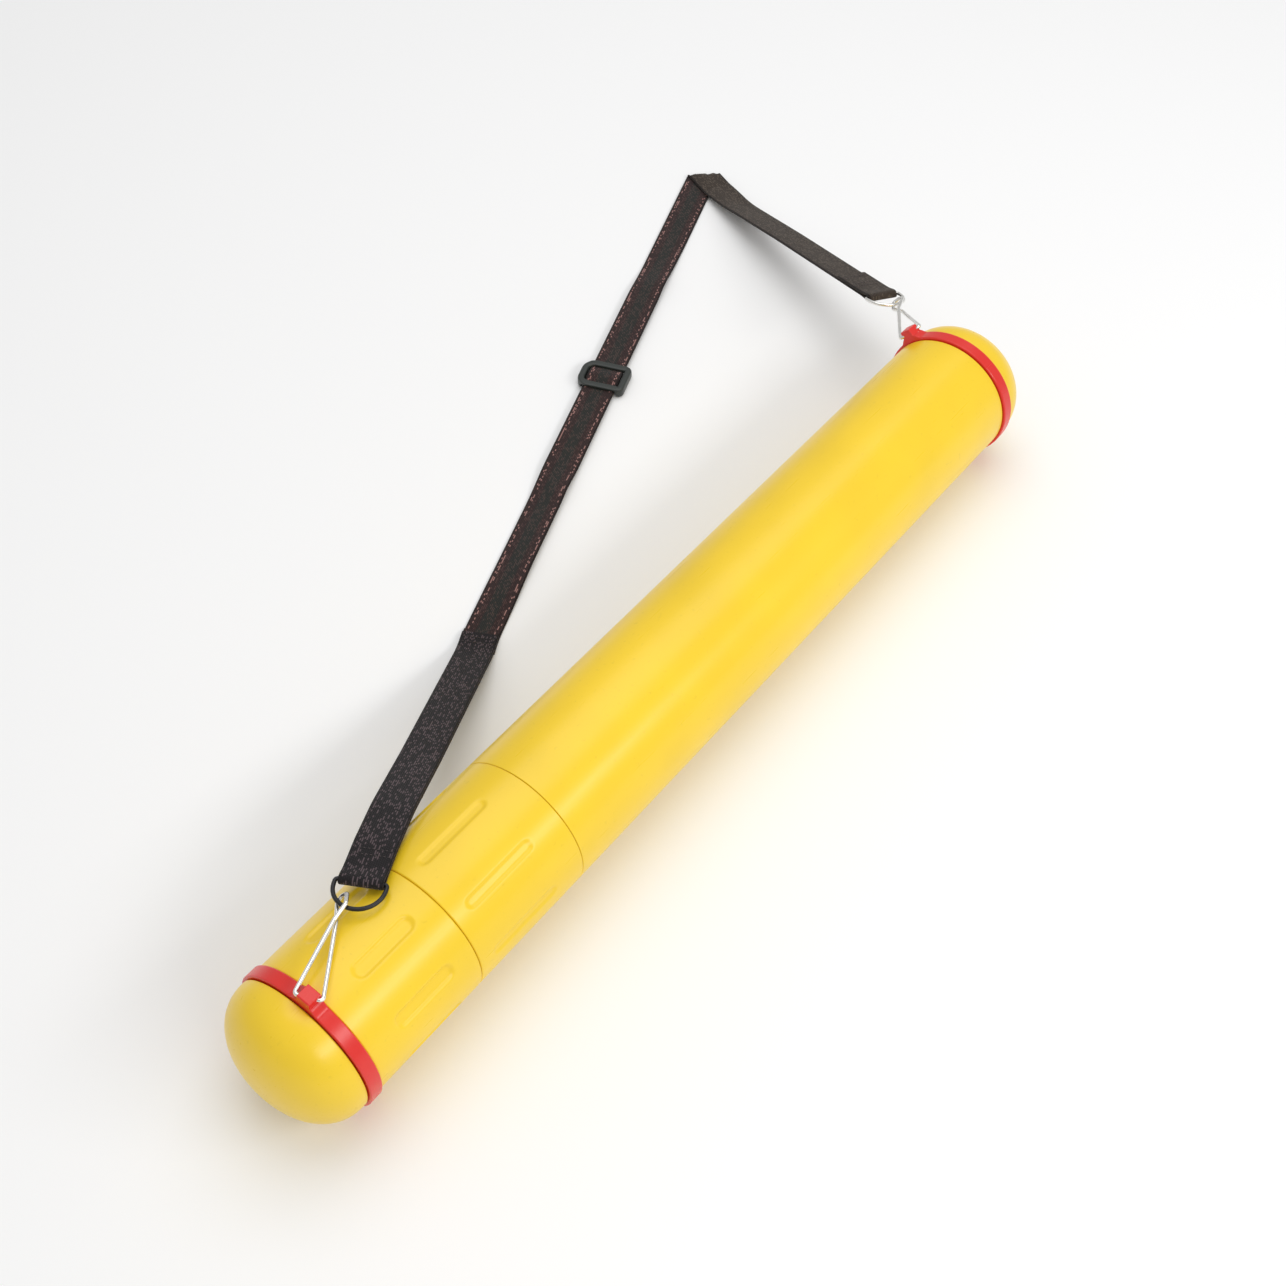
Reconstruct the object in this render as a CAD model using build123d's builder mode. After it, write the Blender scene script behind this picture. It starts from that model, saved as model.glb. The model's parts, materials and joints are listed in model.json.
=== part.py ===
"""Telescopic carrying tube with a webbing shoulder strap, lying on its two strap rings.

Frame: +X runs along the tube from the cap end to the far end, +Z is up, and the origin is on the
surface that the tube lies on, under the middle of the space that tube and strap take up.
"""
from build123d import *
from math import cos, radians, sin, sqrt
import os

os.makedirs("parts", exist_ok=True)

# ---- driving dimensions, mm -------------------------------------------------------------------
TUBE_OD = 80.0
CLOSED_LENGTH = 630.0
DOME_HEIGHT = 28.0
DOME_LIP = 1.7
DOME_POINTS = ((0.5, 0.875), (0.86, 0.54))  # shares of the height and the radius on its outline
RING_WIDTH = 8.0
RING_PROUD = 1.5
GRIP_LENGTH = 70.4
COLLAR_LENGTH = 76.0

OUTER_WALL = 2.2
EDGE_RADIUS = 0.55
INNER_TUBE_OD = 69.0
INNER_WALL = 1.6
COLLAR_WALL = 3.0
NECK_STEP = 2.4                     # the near ring's seat below the grip sleeve's outside
DOME_WALL = 2.4
SEAT_WALL = 1.6
SPIGOT_LENGTH = 24.0
SPIGOT_WALL = 2.0
PLUG_LENGTH = 14.0
SEAT_DEPTH = 20.0
GUIDE_LENGTH = 14.0
BRAKE_LENGTH = 14.0
BRAKE_SPLIT = 4.0
SEAL_WIRE = 2.4
SEAL_GROOVE = 3.1
SEAL_FROM_MOUTH = 15.0

OVAL_COUNT = 8
GRIP_OVAL = (39.0, 8.5, 1.4)        # length, width, depth
GRIP_OVAL_START = 18.0              # from the ring's side of the grip sleeve
GRIP_OVAL_ANGLE = -18.0             # of the first oval from the top, positive towards +Y
COLLAR_OVAL = (47.0, 6.0, 0.8)
COLLAR_OVAL_START = 9.0
COLLAR_OVAL_ANGLE = -39.0

NEAR_LUG_ANGLE = -9.0
FAR_LUG_ANGLE = 47.0
LUG_HEIGHT = 7.0
LUG_BASE = 20.0
LUG_CROWN = 7.6
LUG_SHOULDER = 2.6                  # height of the lug's wide foot over the ring
LUG_HOLE_HEIGHT = 4.0
LUG_ROOT = 1.0                      # how far the lug is rooted in its ring

CLIP_WIRE = 2.2
CLIP_LOOP_SIDE = 3.0                # the loop's wire from the D ring's wire, sideways and upwards
CLIP_LOOP_REACH = 5.4
CLIP_LOOP_PAST = 0.8                 # the loop's wire stays level this far past the D ring's wire
CLIP_CROSSING = 9.0                 # from the loop back to where the legs cross
NEAR_LEG_OUT = 2.9                  # each leg's middle line from the lug's crown
FAR_LEG_OUT = 3.3                   # more, as this clip lies across its lug's corner
CLIP_TWIST = 0.4                    # sideways, at the crossing
CLIP_BENDS = (1.6, 8, 2.4, 1.2)     # from a pin to the loop's end
CLIP_PIN_END = 2.2

WEB_WIDTH = 22.0
WEB_THICKNESS = 1.5
D_WIRE = 2.2
D_CORNER = 1.6
D_SIDE = 3.0
D_PLAY = 0.5                        # between the webbing's edge and the D ring's wire
LAYER_GAP = 0.2
FOLD_LENGTH = 13.0
FOLD_GAP = 5.0                      # bare webbing between the fold and the strap's own solid
FOLD_LEAN = 11.0                    # of the far fold, its -X edge up

NEAR_FOLD_AHEAD = 59.0              # of the near ring, along the tube
NEAR_FOLD_SIDE = 17.0
NEAR_FOLD_ABOVE = 3.5               # above the tube's top
LANDING_AHEAD = 256.0               # where the doubled webbing comes down, from the near ring
LANDING_SIDE = 124.0
PEAK_BEYOND = 133.0                 # where the strap folds back, from the far ring
PEAK_SIDE = 290.0
FAR_FOLD_BEYOND = 36.0
FAR_FOLD_SIDE = 76.0
FAR_FOLD_ABOVE = 15.5               # above the tube's axis
D_TILT = 0.06                       # rise of the near D ring towards its clip
NEAR_CLIP_SIDE = 5.8                # where each clip takes its D ring, off the middle of the bow
FAR_CLIP_SIDE = -2.0
SHOULDER_ONE = (0.62, 0.125)        # how far along and down the doubled webbing is, in tube radii
SHOULDER_TWO = (1.32, 0.35)
SHOULDER_THREE = (2.47, 0.875)
SETTLE_SHARE = 0.93                 # share of the doubled webbing's span where it meets the ground
BACK_MIDDLE = (0.5, 0.47)           # shares of the back run's span and its height
FOLD_REACH = 33.0                   # from the peak, where the back run rests on the long run
LANDING_GAP = 3.0

SLIDER_LENGTH = 25.0
SLIDER_BAR = 4.6
SLIDER_RAIL = 4.6
SLIDER_PLAY = 0.9                   # between the webbing's edge and a rail
SLIDER_BAR_THICKNESS = 2.2
SLIDER_MIDDLE_BAR = 3.7
SLIDER_GROUND = 0.2
SLIDER_MARGIN = 2.0
LIFT_RAMP = 40.0
SLIDER_PLACE = 0.493                # share of the way from the landing to the peak
SLIDER_TRAVEL = 70.0

RUNNING = 0.10                      # radial clearance of what turns or slides
GAP = 0.3                           # between faces that pass each other
GLUED = 0.02                        # between pieces of one body

# ---- what follows from them -------------------------------------------------------------------
TUBE_R = TUBE_OD / 2
RING_R = TUBE_R + RING_PROUD
AXIS_Z = RING_R
BORE_R = TUBE_R - OUTER_WALL
INNER_R = INNER_TUBE_OD / 2
INNER_BORE_R = INNER_R - INNER_WALL
COLLAR_BORE_R = TUBE_R - COLLAR_WALL
NECK_R = TUBE_R - NECK_STEP
HALF = CLOSED_LENGTH / 2
DOME_BASE = DOME_HEIGHT + DOME_LIP

RING_START = DOME_BASE + GAP
RING_END = RING_START + RING_WIDTH
GRIP_START = RING_END + GAP
GRIP_END = GRIP_START + GRIP_LENGTH
COLLAR_START = GRIP_END + GAP
COLLAR_END = COLLAR_START + COLLAR_LENGTH
TUBE_START = COLLAR_END + GAP
FAR_RING_START = CLOSED_LENGTH - RING_END
TUBE_END = FAR_RING_START - GAP
PLUG_START = TUBE_END - PLUG_LENGTH
GUIDE_END = PLUG_START - 2 * GAP
GUIDE_START = GUIDE_END - GUIDE_LENGTH
TRAVEL = GUIDE_START - TUBE_START - SEAT_DEPTH - GAP

NEAR_RING_X = -HALF + RING_START + RING_WIDTH / 2
FAR_RING_X = HALF - RING_START - RING_WIDTH / 2
near_fold = Vector(NEAR_RING_X + NEAR_FOLD_AHEAD, NEAR_FOLD_SIDE, AXIS_Z + TUBE_R + NEAR_FOLD_ABOVE)
landing = Vector(NEAR_RING_X + LANDING_AHEAD, LANDING_SIDE, 0)
peak = Vector(FAR_RING_X + PEAK_BEYOND, PEAK_SIDE, 0)
far_fold = Vector(FAR_RING_X + FAR_FOLD_BEYOND, FAR_FOLD_SIDE, AXIS_Z + FAR_FOLD_ABOVE)
UP = Vector(0, 0, 1)


def level(start, end):
    """The level direction from one point to another."""
    return Vector(end.X - start.X, end.Y - start.Y, 0).normalized()


def spread(start, end):
    """The level distance from one point to another."""
    return Vector(end.X - start.X, end.Y - start.Y, 0).length


near_way = level(near_fold, landing)
long_way = level(landing, peak)
back_way = level(far_fold, peak)

# The footprint's middle is at the origin, so the tube's own middle stands off it.
FOOT_X_MAX = peak.X + WEB_WIDTH / 2 * abs(back_way.Y)
FOOT_Y_MAX = peak.Y + WEB_WIDTH / 2 * abs(long_way.X)
TUBE_X = (HALF - FOOT_X_MAX) / 2
TUBE_Y = (RING_R - FOOT_Y_MAX) / 2
offset_to_frame = Vector(TUBE_X, TUBE_Y, 0)


def placed(point):
    """A point given from the tube's middle, in the part's frame."""
    return point + offset_to_frame


def across(station):
    """The plane across the tube at a distance from the near end, local x to +Y and local y up."""
    return Plane(origin=(TUBE_X - HALF + station, TUBE_Y, AXIS_Z), x_dir=(0, 1, 0), z_dir=(1, 0, 0))


def along(station=0.0):
    """The upright plane through the tube's axis, local x along it and local y up."""
    return Plane(origin=(TUBE_X - HALF + station, TUBE_Y, AXIS_Z), x_dir=(1, 0, 0), z_dir=(0, -1, 0))


def upright(point, way):
    """The upright plane through a point in a level direction, local x that way and local y up."""
    return Plane(origin=placed(point), x_dir=way, z_dir=way.cross(UP))


TUBE_AXIS = Axis((TUBE_X, TUBE_Y, AXIS_Z), (1, 0, 0))


def sleeve(outer_r, inner_r, start, end):
    """Draws a plain round sleeve between two stations in the part being built."""
    with BuildSketch(across(start)) as section:
        Circle(outer_r)
        Circle(inner_r, mode=Mode.SUBTRACT)
    extrude(section.sketch, amount=end - start)


def oval_recesses(oval, start, first_angle):
    """Cuts a ring of long ovals into the outside of the part being built."""
    length, width, depth = oval
    middle = start + length / 2
    for number in range(OVAL_COUNT):
        turn = radians(first_angle + number * 360 / OVAL_COUNT)
        out = Vector(0, sin(turn), cos(turn))
        foot = Vector(-HALF + middle, 0, AXIS_Z) + out * (TUBE_R - depth)
        with BuildSketch(Plane(origin=placed(foot), x_dir=(1, 0, 0), z_dir=out)) as recess:
            SlotOverall(length, width)
        extrude(recess.sketch, amount=depth * 3, mode=Mode.SUBTRACT)


# ---- outer tube and its far end ----------------------------------------------------------------
with BuildPart() as outer_tube:
    sleeve(TUBE_R, BORE_R, TUBE_START, TUBE_END)
    rims = outer_tube.edges().filter_by(GeomType.CIRCLE).group_by(SortBy.RADIUS)[-1]
    fillet(rims, EDGE_RADIUS)
outer_tube.part.label = "outer_tube"


def dome_shell(base, sign, spigot_r, spigot_end, spigot_wall):
    """Draws a domed cap with a round spigot; sign is -1 for a dome that points to -X."""
    apex = base + sign * DOME_BASE
    shoulder = base + sign * DOME_LIP
    hollow_r = spigot_r - spigot_wall
    hollow_h = DOME_HEIGHT - DOME_WALL
    (low_h, low_r), (high_h, high_r) = DOME_POINTS
    with BuildSketch(along()) as profile:
        with BuildLine():
            Line((spigot_end, hollow_r), (spigot_end, spigot_r))
            Line((spigot_end, spigot_r), (base, spigot_r))
            Line((base, spigot_r), (base, TUBE_R))
            Line((base, TUBE_R), (shoulder, TUBE_R))
            Spline(
                (shoulder, TUBE_R),
                (shoulder + sign * DOME_HEIGHT * low_h, TUBE_R * low_r),
                (shoulder + sign * DOME_HEIGHT * high_h, TUBE_R * high_r),
                (apex, 0),
                tangents=((sign, 0), (0, -1)),
            )
            Line((apex, 0), (shoulder + sign * hollow_h, 0))
            Spline(
                (shoulder + sign * hollow_h, 0),
                (shoulder + sign * hollow_h * high_h, hollow_r * high_r),
                (shoulder + sign * hollow_h * low_h, hollow_r * low_r),
                (shoulder, hollow_r),
                tangents=((0, 1), (-sign, 0)),
            )
            Line((shoulder, hollow_r), (spigot_end, hollow_r))
        make_face()
    revolve(profile.sketch, axis=TUBE_AXIS)


PLUG_R = BORE_R - GLUED
with BuildPart() as far_dome:
    dome_shell(CLOSED_LENGTH - DOME_BASE, 1, PLUG_R, PLUG_START, SPIGOT_WALL)
far_dome.part.label = "far_dome"

# ---- mouth of the outer tube: seat, brake ring and locking collar --------------------------------
BRAKE_START = COLLAR_START + COLLAR_WALL / 2
SEAT_START = BRAKE_START + BRAKE_LENGTH + GAP
SEAT_NECK_R = COLLAR_BORE_R - RUNNING
SEAT_BORE_R = INNER_R + GAP
with BuildPart() as collar_seat:
    sleeve(SEAT_NECK_R, SEAT_BORE_R, SEAT_START, TUBE_START)
    sleeve(BORE_R - GLUED, SEAT_BORE_R, TUBE_START, TUBE_START + SEAT_DEPTH)
collar_seat.part.label = "collar_seat"

with BuildPart() as brake_ring:
    sleeve(COLLAR_BORE_R - GAP, INNER_R + GAP, BRAKE_START + GAP, BRAKE_START + BRAKE_LENGTH)
    with BuildSketch(across(BRAKE_START)):
        with Locations((0, -TUBE_R)):
            Rectangle(BRAKE_SPLIT, TUBE_OD)
    extrude(amount=BRAKE_LENGTH * 2, mode=Mode.SUBTRACT)
brake_ring.part.label = "brake_ring"

with BuildPart() as lock_collar:
    sleeve(TUBE_R, COLLAR_BORE_R, COLLAR_START, COLLAR_END)
    sleeve(TUBE_R - EDGE_RADIUS, INNER_R + GAP, COLLAR_START, BRAKE_START)
    oval_recesses(COLLAR_OVAL, COLLAR_START + COLLAR_OVAL_START, COLLAR_OVAL_ANGLE)
lock_collar.part.label = "lock_collar"

# ---- inner tube, its grip sleeve and guide ring ------------------------------------------------
MOUTH = RING_START
with BuildPart() as inner_tube:
    sleeve(INNER_R, INNER_BORE_R, MOUTH, GUIDE_END)
inner_tube.part.label = "inner_tube"

with BuildPart() as grip_sleeve:
    sleeve(TUBE_R, INNER_R + GLUED, GRIP_START, GRIP_END)
    oval_recesses(GRIP_OVAL, GRIP_START + GRIP_OVAL_START, GRIP_OVAL_ANGLE)
    sleeve(NECK_R, INNER_R + GLUED, MOUTH, GRIP_START)
grip_sleeve.part.label = "grip_sleeve"

with BuildPart() as guide_ring:
    sleeve(BORE_R - RUNNING, INNER_R + GLUED, GUIDE_START, GUIDE_END)
guide_ring.part.label = "guide_ring"

# ---- near cap: a dome with a spigot and a seal --------------------------------------------------
SPIGOT_R = INNER_BORE_R - GAP
SEAL_X = MOUTH + SEAL_FROM_MOUTH
SEAL_R = INNER_BORE_R - RUNNING / 2 - SEAL_WIRE / 2
with BuildPart() as near_dome:
    dome_shell(DOME_BASE, -1, SPIGOT_R, MOUTH + SPIGOT_LENGTH, SPIGOT_WALL + SEAL_WIRE / 2)
    with BuildSketch(along(SEAL_X)):
        with Locations((0, SPIGOT_R)):
            Rectangle(SEAL_GROOVE, 2 * (SPIGOT_R - SEAL_R + SEAL_WIRE / 2 + GLUED))
    revolve(axis=TUBE_AXIS, mode=Mode.SUBTRACT)
near_dome.part.label = "near_dome"

with BuildPart() as cap_seal:
    with BuildSketch(along(SEAL_X)):
        with Locations((0, SEAL_R)):
            Circle(SEAL_WIRE / 2)
    revolve(axis=TUBE_AXIS)
cap_seal.part.label = "cap_seal"


# ---- strap rings, clips and D rings --------------------------------------------------------------
def lug_out(angle):
    """The direction from the tube's axis through a lug."""
    return Vector(0, sin(radians(angle)), cos(radians(angle)))


def pivot_point(ring_x, angle):
    """The middle of the cross hole in a lug."""
    return Vector(ring_x, 0, AXIS_Z) + lug_out(angle) * (RING_R + LUG_HOLE_HEIGHT)


near_pivot = pivot_point(NEAR_RING_X, NEAR_LUG_ANGLE)
far_pivot = pivot_point(FAR_RING_X, FAR_LUG_ANGLE)

D_HALF = WEB_WIDTH / 2 + D_PLAY + D_WIRE / 2
near_bar = UP.cross(near_way)
near_bow = (UP * D_TILT - near_way).normalized()
far_bar = UP.cross(back_way) * cos(radians(FOLD_LEAN)) + UP * sin(radians(FOLD_LEAN))
far_to_pivot = far_pivot - far_fold
far_bow = (far_to_pivot - far_bar * far_to_pivot.dot(far_bar)).normalized()


def bow_point(fold, bar, bow, side):
    """The point of a D ring's bow at a distance to one side of its middle."""
    return fold + bar * side + bow * (D_SIDE + sqrt(D_HALF ** 2 - side ** 2))


near_hold = bow_point(near_fold, near_bar, near_bow, NEAR_CLIP_SIDE)
far_hold = bow_point(far_fold, far_bar, far_bow, FAR_CLIP_SIDE)


def clip_frame(pivot, hold, angle):
    """A clip's length, its direction, its hinge axis and its third direction."""
    reach = hold - pivot
    ahead = reach.normalized()
    hinge = lug_out(angle).cross(ahead).normalized()
    return reach.length, ahead, hinge, ahead.cross(hinge)


def bow_direction(bar, bow, side):
    """The way a D ring's wire runs at a distance to one side of the bow's middle."""
    return bar * sqrt(1 - (side / D_HALF) ** 2) - bow * (side / D_HALF)


near_set = clip_frame(near_pivot, near_hold, NEAR_LUG_ANGLE)
far_set = clip_frame(far_pivot, far_hold, FAR_LUG_ANGLE)
near_hinge = near_set[2]
far_hinge = far_set[2]

HOLE_R = CLIP_WIRE / 2 + RUNNING


def strap_ring(seat_r, station, angle, pivot, hinge):
    """Draws a strap ring with its raised lug and the lug's cross hole."""
    sleeve(RING_R, seat_r + RUNNING, station, station + RING_WIDTH)
    out = lug_out(angle)
    side = Vector(0, cos(radians(angle)), -sin(radians(angle)))
    ring_middle = Vector(-HALF + station + RING_WIDTH / 2, 0, AXIS_Z)
    with BuildSketch(Plane(origin=placed(ring_middle), x_dir=side, z_dir=(1, 0, 0))) as lug:
        root = sqrt((RING_R - LUG_ROOT) ** 2 - (LUG_BASE / 2) ** 2)
        with BuildLine():
            Polyline(
                (-LUG_BASE / 2, root),
                (-LUG_CROWN / 2, RING_R + LUG_SHOULDER),
                (-LUG_CROWN / 2, RING_R + LUG_HEIGHT),
                (LUG_CROWN / 2, RING_R + LUG_HEIGHT),
                (LUG_CROWN / 2, RING_R + LUG_SHOULDER),
                (LUG_BASE / 2, root),
                close=True,
            )
        make_face()
    extrude(lug.sketch, amount=RING_WIDTH / 2, both=True)
    with BuildSketch(Plane(origin=placed(pivot), z_dir=hinge)) as cross_hole:
        Circle(HOLE_R)
    extrude(cross_hole.sketch, amount=LUG_BASE, both=True, mode=Mode.SUBTRACT)


with BuildPart() as near_strap_ring:
    strap_ring(NECK_R, RING_START, NEAR_LUG_ANGLE, near_pivot, near_hinge)
near_strap_ring.part.label = "near_strap_ring"

with BuildPart() as far_strap_ring:
    strap_ring(PLUG_R, FAR_RING_START, FAR_LUG_ANGLE, far_pivot, far_hinge)
far_strap_ring.part.label = "far_strap_ring"


def clip_wire(pivot, clip, bow_way, leg):
    """Draws a clip of round wire: two pins, two legs that cross and a loop round the D ring."""
    reach, ahead, hinge, third = clip
    hold = pivot + ahead * reach
    side = CLIP_LOOP_SIDE
    past = CLIP_LOOP_REACH
    square = (bow_way - ahead * bow_way.dot(ahead)).normalized()
    slant = side * bow_way.dot(ahead) / bow_way.dot(square)

    def leg_point(forward, sideways, upwards):
        return placed(pivot + ahead * forward + hinge * sideways + third * upwards)

    def loop_point(forward, sideways, upwards):
        return placed(hold + ahead * forward + square * sideways + ahead.cross(square) * upwards)

    with BuildLine():
        path = FilletPolyline(
            leg_point(0, CLIP_PIN_END, 0),
            leg_point(0, leg, 0),
            leg_point(reach - CLIP_CROSSING, CLIP_TWIST, side / 2),
            loop_point(CLIP_LOOP_PAST - slant, -side, side),
            loop_point(past, -side / 2, side / 2),
            loop_point(past, side / 2, -side / 2),
            loop_point(CLIP_LOOP_PAST + slant, side, -side),
            leg_point(reach - CLIP_CROSSING, -CLIP_TWIST, -side / 2),
            leg_point(0, -leg, 0),
            leg_point(0, -CLIP_PIN_END, 0),
            radius=[*CLIP_BENDS, *reversed(CLIP_BENDS)],
        )
    with BuildSketch(Plane(origin=path @ 0, z_dir=path % 0)) as wire:
        Circle(CLIP_WIRE / 2)
    sweep(wire.sketch, path=path)


NEAR_LEG = LUG_CROWN / 2 + NEAR_LEG_OUT
FAR_LEG = LUG_CROWN / 2 + FAR_LEG_OUT
near_bow_way = bow_direction(near_bar, near_bow, NEAR_CLIP_SIDE)
far_bow_way = bow_direction(far_bar, far_bow, FAR_CLIP_SIDE)
with BuildPart() as near_clip:
    clip_wire(near_pivot, near_set, near_bow_way, NEAR_LEG)
near_clip.part.label = "near_clip"

with BuildPart() as far_clip:
    clip_wire(far_pivot, far_set, far_bow_way, FAR_LEG)
far_clip.part.label = "far_clip"


def d_ring(fold, bar, bow):
    """Draws a D ring of round wire: a straight bar with rounded ends and a half-round bow."""
    face = Plane(origin=placed(fold), x_dir=bar, z_dir=bar.cross(bow))
    with BuildLine(face):
        path = Wire(
            [
                Line((0, 0), (D_HALF - D_CORNER, 0)),
                ThreePointArc(
                    (D_HALF - D_CORNER, 0),
                    (D_HALF - D_CORNER * (1 - sqrt(0.5)), D_CORNER * (1 - sqrt(0.5))),
                    (D_HALF, D_CORNER),
                ),
                Line((D_HALF, D_CORNER), (D_HALF, D_SIDE)),
                ThreePointArc((D_HALF, D_SIDE), (0, D_SIDE + D_HALF), (-D_HALF, D_SIDE)),
                Line((-D_HALF, D_SIDE), (-D_HALF, D_CORNER)),
                ThreePointArc(
                    (-D_HALF, D_CORNER),
                    (-D_HALF + D_CORNER * (1 - sqrt(0.5)), D_CORNER * (1 - sqrt(0.5))),
                    (-D_HALF + D_CORNER, 0),
                ),
                Line((-D_HALF + D_CORNER, 0), (0, 0)),
            ]
        )
    with BuildSketch(Plane(origin=placed(fold), z_dir=bar)) as wire:
        Circle(D_WIRE / 2)
    sweep(wire.sketch, path=path)


with BuildPart() as near_d_ring:
    d_ring(near_fold, near_bar, near_bow)
near_d_ring.part.label = "near_d_ring"

with BuildPart() as far_d_ring:
    d_ring(far_fold, far_bar, far_bow)
far_d_ring.part.label = "far_d_ring"


# ---- webbing strap: plain solids along its real route --------------------------------------------
DOUBLED = 2 * WEB_THICKNESS + LAYER_GAP


def webbing_fold(fold, way, bar):
    """Draws the end of the webbing, folded round a D ring's bar."""
    with BuildSketch(Plane(origin=placed(fold), x_dir=way, z_dir=bar)) as edge_view:
        Circle(D_WIRE / 2 + RUNNING + WEB_THICKNESS)
        with Locations((FOLD_LENGTH / 2, 0)):
            Rectangle(FOLD_LENGTH, DOUBLED)
        Circle(D_WIRE / 2 + RUNNING, mode=Mode.SUBTRACT)
    extrude(edge_view.sketch, amount=WEB_WIDTH / 2, both=True)


def webbing_run(start, way, line, thickness):
    """Draws a run of webbing from the middle line of its edge view: (distance, height) points."""
    top = [(distance, height + thickness / 2) for distance, height in line]
    bottom = [(distance, height - thickness / 2) for distance, height in reversed(line)]
    with BuildSketch(upright(Vector(start.X, start.Y, 0), way)) as edge_view:
        with BuildLine():
            Polyline(*top, *bottom, close=True)
        make_face()
    extrude(edge_view.sketch, amount=WEB_WIDTH / 2, both=True)


with BuildPart() as near_strap_end:
    webbing_fold(near_fold, near_way, near_bar)
near_strap_end.part.label = "near_strap_end"

far_slope = (placed(peak) - placed(far_fold)).normalized()
with BuildPart() as far_strap_end:
    webbing_fold(far_fold, far_slope, far_bar)
far_strap_end.part.label = "far_strap_end"

near_span = spread(near_fold, landing)
near_start = FOLD_LENGTH + FOLD_GAP
first_slope = SHOULDER_ONE[1] / SHOULDER_ONE[0]
shoulders = [
    (TUBE_R * ahead, near_fold.Z - TUBE_R * down)
    for ahead, down in (SHOULDER_ONE, SHOULDER_TWO, SHOULDER_THREE)
]
near_line = [
    (near_start, near_fold.Z - first_slope * near_start),
    *shoulders,
    (near_span * SETTLE_SHARE, DOUBLED),
    (near_span, DOUBLED / 2),
]
with BuildPart() as strap_doubled:
    webbing_run(near_fold, near_way, near_line, DOUBLED)
strap_doubled.part.label = "strap_doubled"

# The slider's middle bar passes under the webbing, which it holds off the ground.
WEB_LIFT = SLIDER_GROUND + SLIDER_BAR_THICKNESS + GAP
long_span = spread(landing, peak)
slider_at = long_span * SLIDER_PLACE
LIFT_REACH = SLIDER_TRAVEL + SLIDER_LENGTH / 2 + SLIDER_MARGIN
MID = WEB_THICKNESS / 2
long_line = [
    (LANDING_GAP, MID),
    (slider_at - LIFT_REACH - LIFT_RAMP, MID),
    (slider_at - LIFT_REACH, MID + WEB_LIFT),
    (slider_at + LIFT_REACH, MID + WEB_LIFT),
    (slider_at + LIFT_REACH + LIFT_RAMP, MID),
    (long_span, MID),
]
with BuildPart() as strap_long_run:
    webbing_run(landing, long_way, long_line, WEB_THICKNESS)
strap_long_run.part.label = "strap_long_run"

back_span = spread(far_fold, peak)
back_line = [
    (near_start, far_fold.Z - far_fold.Z * near_start / back_span),
    (back_span * BACK_MIDDLE[0], far_fold.Z * BACK_MIDDLE[1]),
    (back_span - FOLD_REACH, WEB_THICKNESS * 2.5 + GAP),
    (back_span, WEB_THICKNESS * 1.5 + GAP),
]
with BuildPart() as strap_back_run:
    webbing_run(far_fold, back_way, back_line, WEB_THICKNESS)
strap_back_run.part.label = "strap_back_run"

# ---- slider: outer bars over the webbing, middle bar under it ----------------------------------
SLIDER_WIDTH = WEB_WIDTH + 2 * (SLIDER_RAIL + SLIDER_PLAY)
SLIDER_TOP = WEB_LIFT + WEB_THICKNESS + GAP + SLIDER_BAR_THICKNESS
slider_middle = landing + long_way * slider_at
slider_base = Plane(origin=placed(slider_middle) + UP * SLIDER_GROUND, x_dir=long_way, z_dir=UP)
with BuildPart() as strap_slider:
    with BuildSketch(slider_base):
        RectangleRounded(SLIDER_LENGTH, SLIDER_WIDTH, SLIDER_RAIL)
        Rectangle(SLIDER_LENGTH - 2 * SLIDER_BAR, SLIDER_WIDTH - 2 * SLIDER_RAIL, mode=Mode.SUBTRACT)
    extrude(amount=SLIDER_TOP - SLIDER_GROUND)
    with BuildSketch(slider_base):
        Rectangle(SLIDER_LENGTH + 2, SLIDER_WIDTH - 2 * SLIDER_RAIL)
    extrude(amount=SLIDER_TOP - SLIDER_GROUND - SLIDER_BAR_THICKNESS, mode=Mode.SUBTRACT)
    with BuildSketch(slider_base):
        Rectangle(SLIDER_MIDDLE_BAR, SLIDER_WIDTH - SLIDER_RAIL)
    extrude(amount=SLIDER_BAR_THICKNESS)
strap_slider.part.label = "strap_slider"

for piece in (
    outer_tube, far_dome, collar_seat, brake_ring, lock_collar, inner_tube, grip_sleeve, guide_ring,
    near_dome, cap_seal, near_strap_ring, far_strap_ring, near_clip, far_clip, near_d_ring,
    far_d_ring, near_strap_end, far_strap_end, strap_doubled, strap_long_run, strap_back_run,
    strap_slider,
):
    export_step(piece.part, f"parts/{piece.part.label}.step")

if __name__ == "__main__":
    for name, value in (
        ("tube middle", (round(TUBE_X, 3), round(TUBE_Y, 3), AXIS_Z)),
        ("tube extends by", round(TRAVEL, 2)),
        ("near pivot", placed(near_pivot)), ("near hinge", near_hinge),
        ("far pivot", placed(far_pivot)), ("far hinge", far_hinge),
        ("near fold", placed(near_fold)), ("near bar", near_bar),
        ("far fold", placed(far_fold)), ("far bar", far_bar),
        ("near hold", placed(near_hold)), ("near bow", near_bow_way),
        ("far hold", placed(far_hold)), ("far bow", far_bow_way),
        ("slider", placed(slider_middle)), ("strap way", long_way),
        ("clip lengths", (near_set[0], far_set[0])),
    ):
        print(name, value)
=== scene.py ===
"""Telescopic carrying tube with its webbing shoulder strap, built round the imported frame.

Laid out as an add-on: settings, an operator for each group of pieces, one for the stage, and a
panel. Every new piece is a surface worked out from the frame's boxes and joints, in metres.
"""
import json

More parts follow.
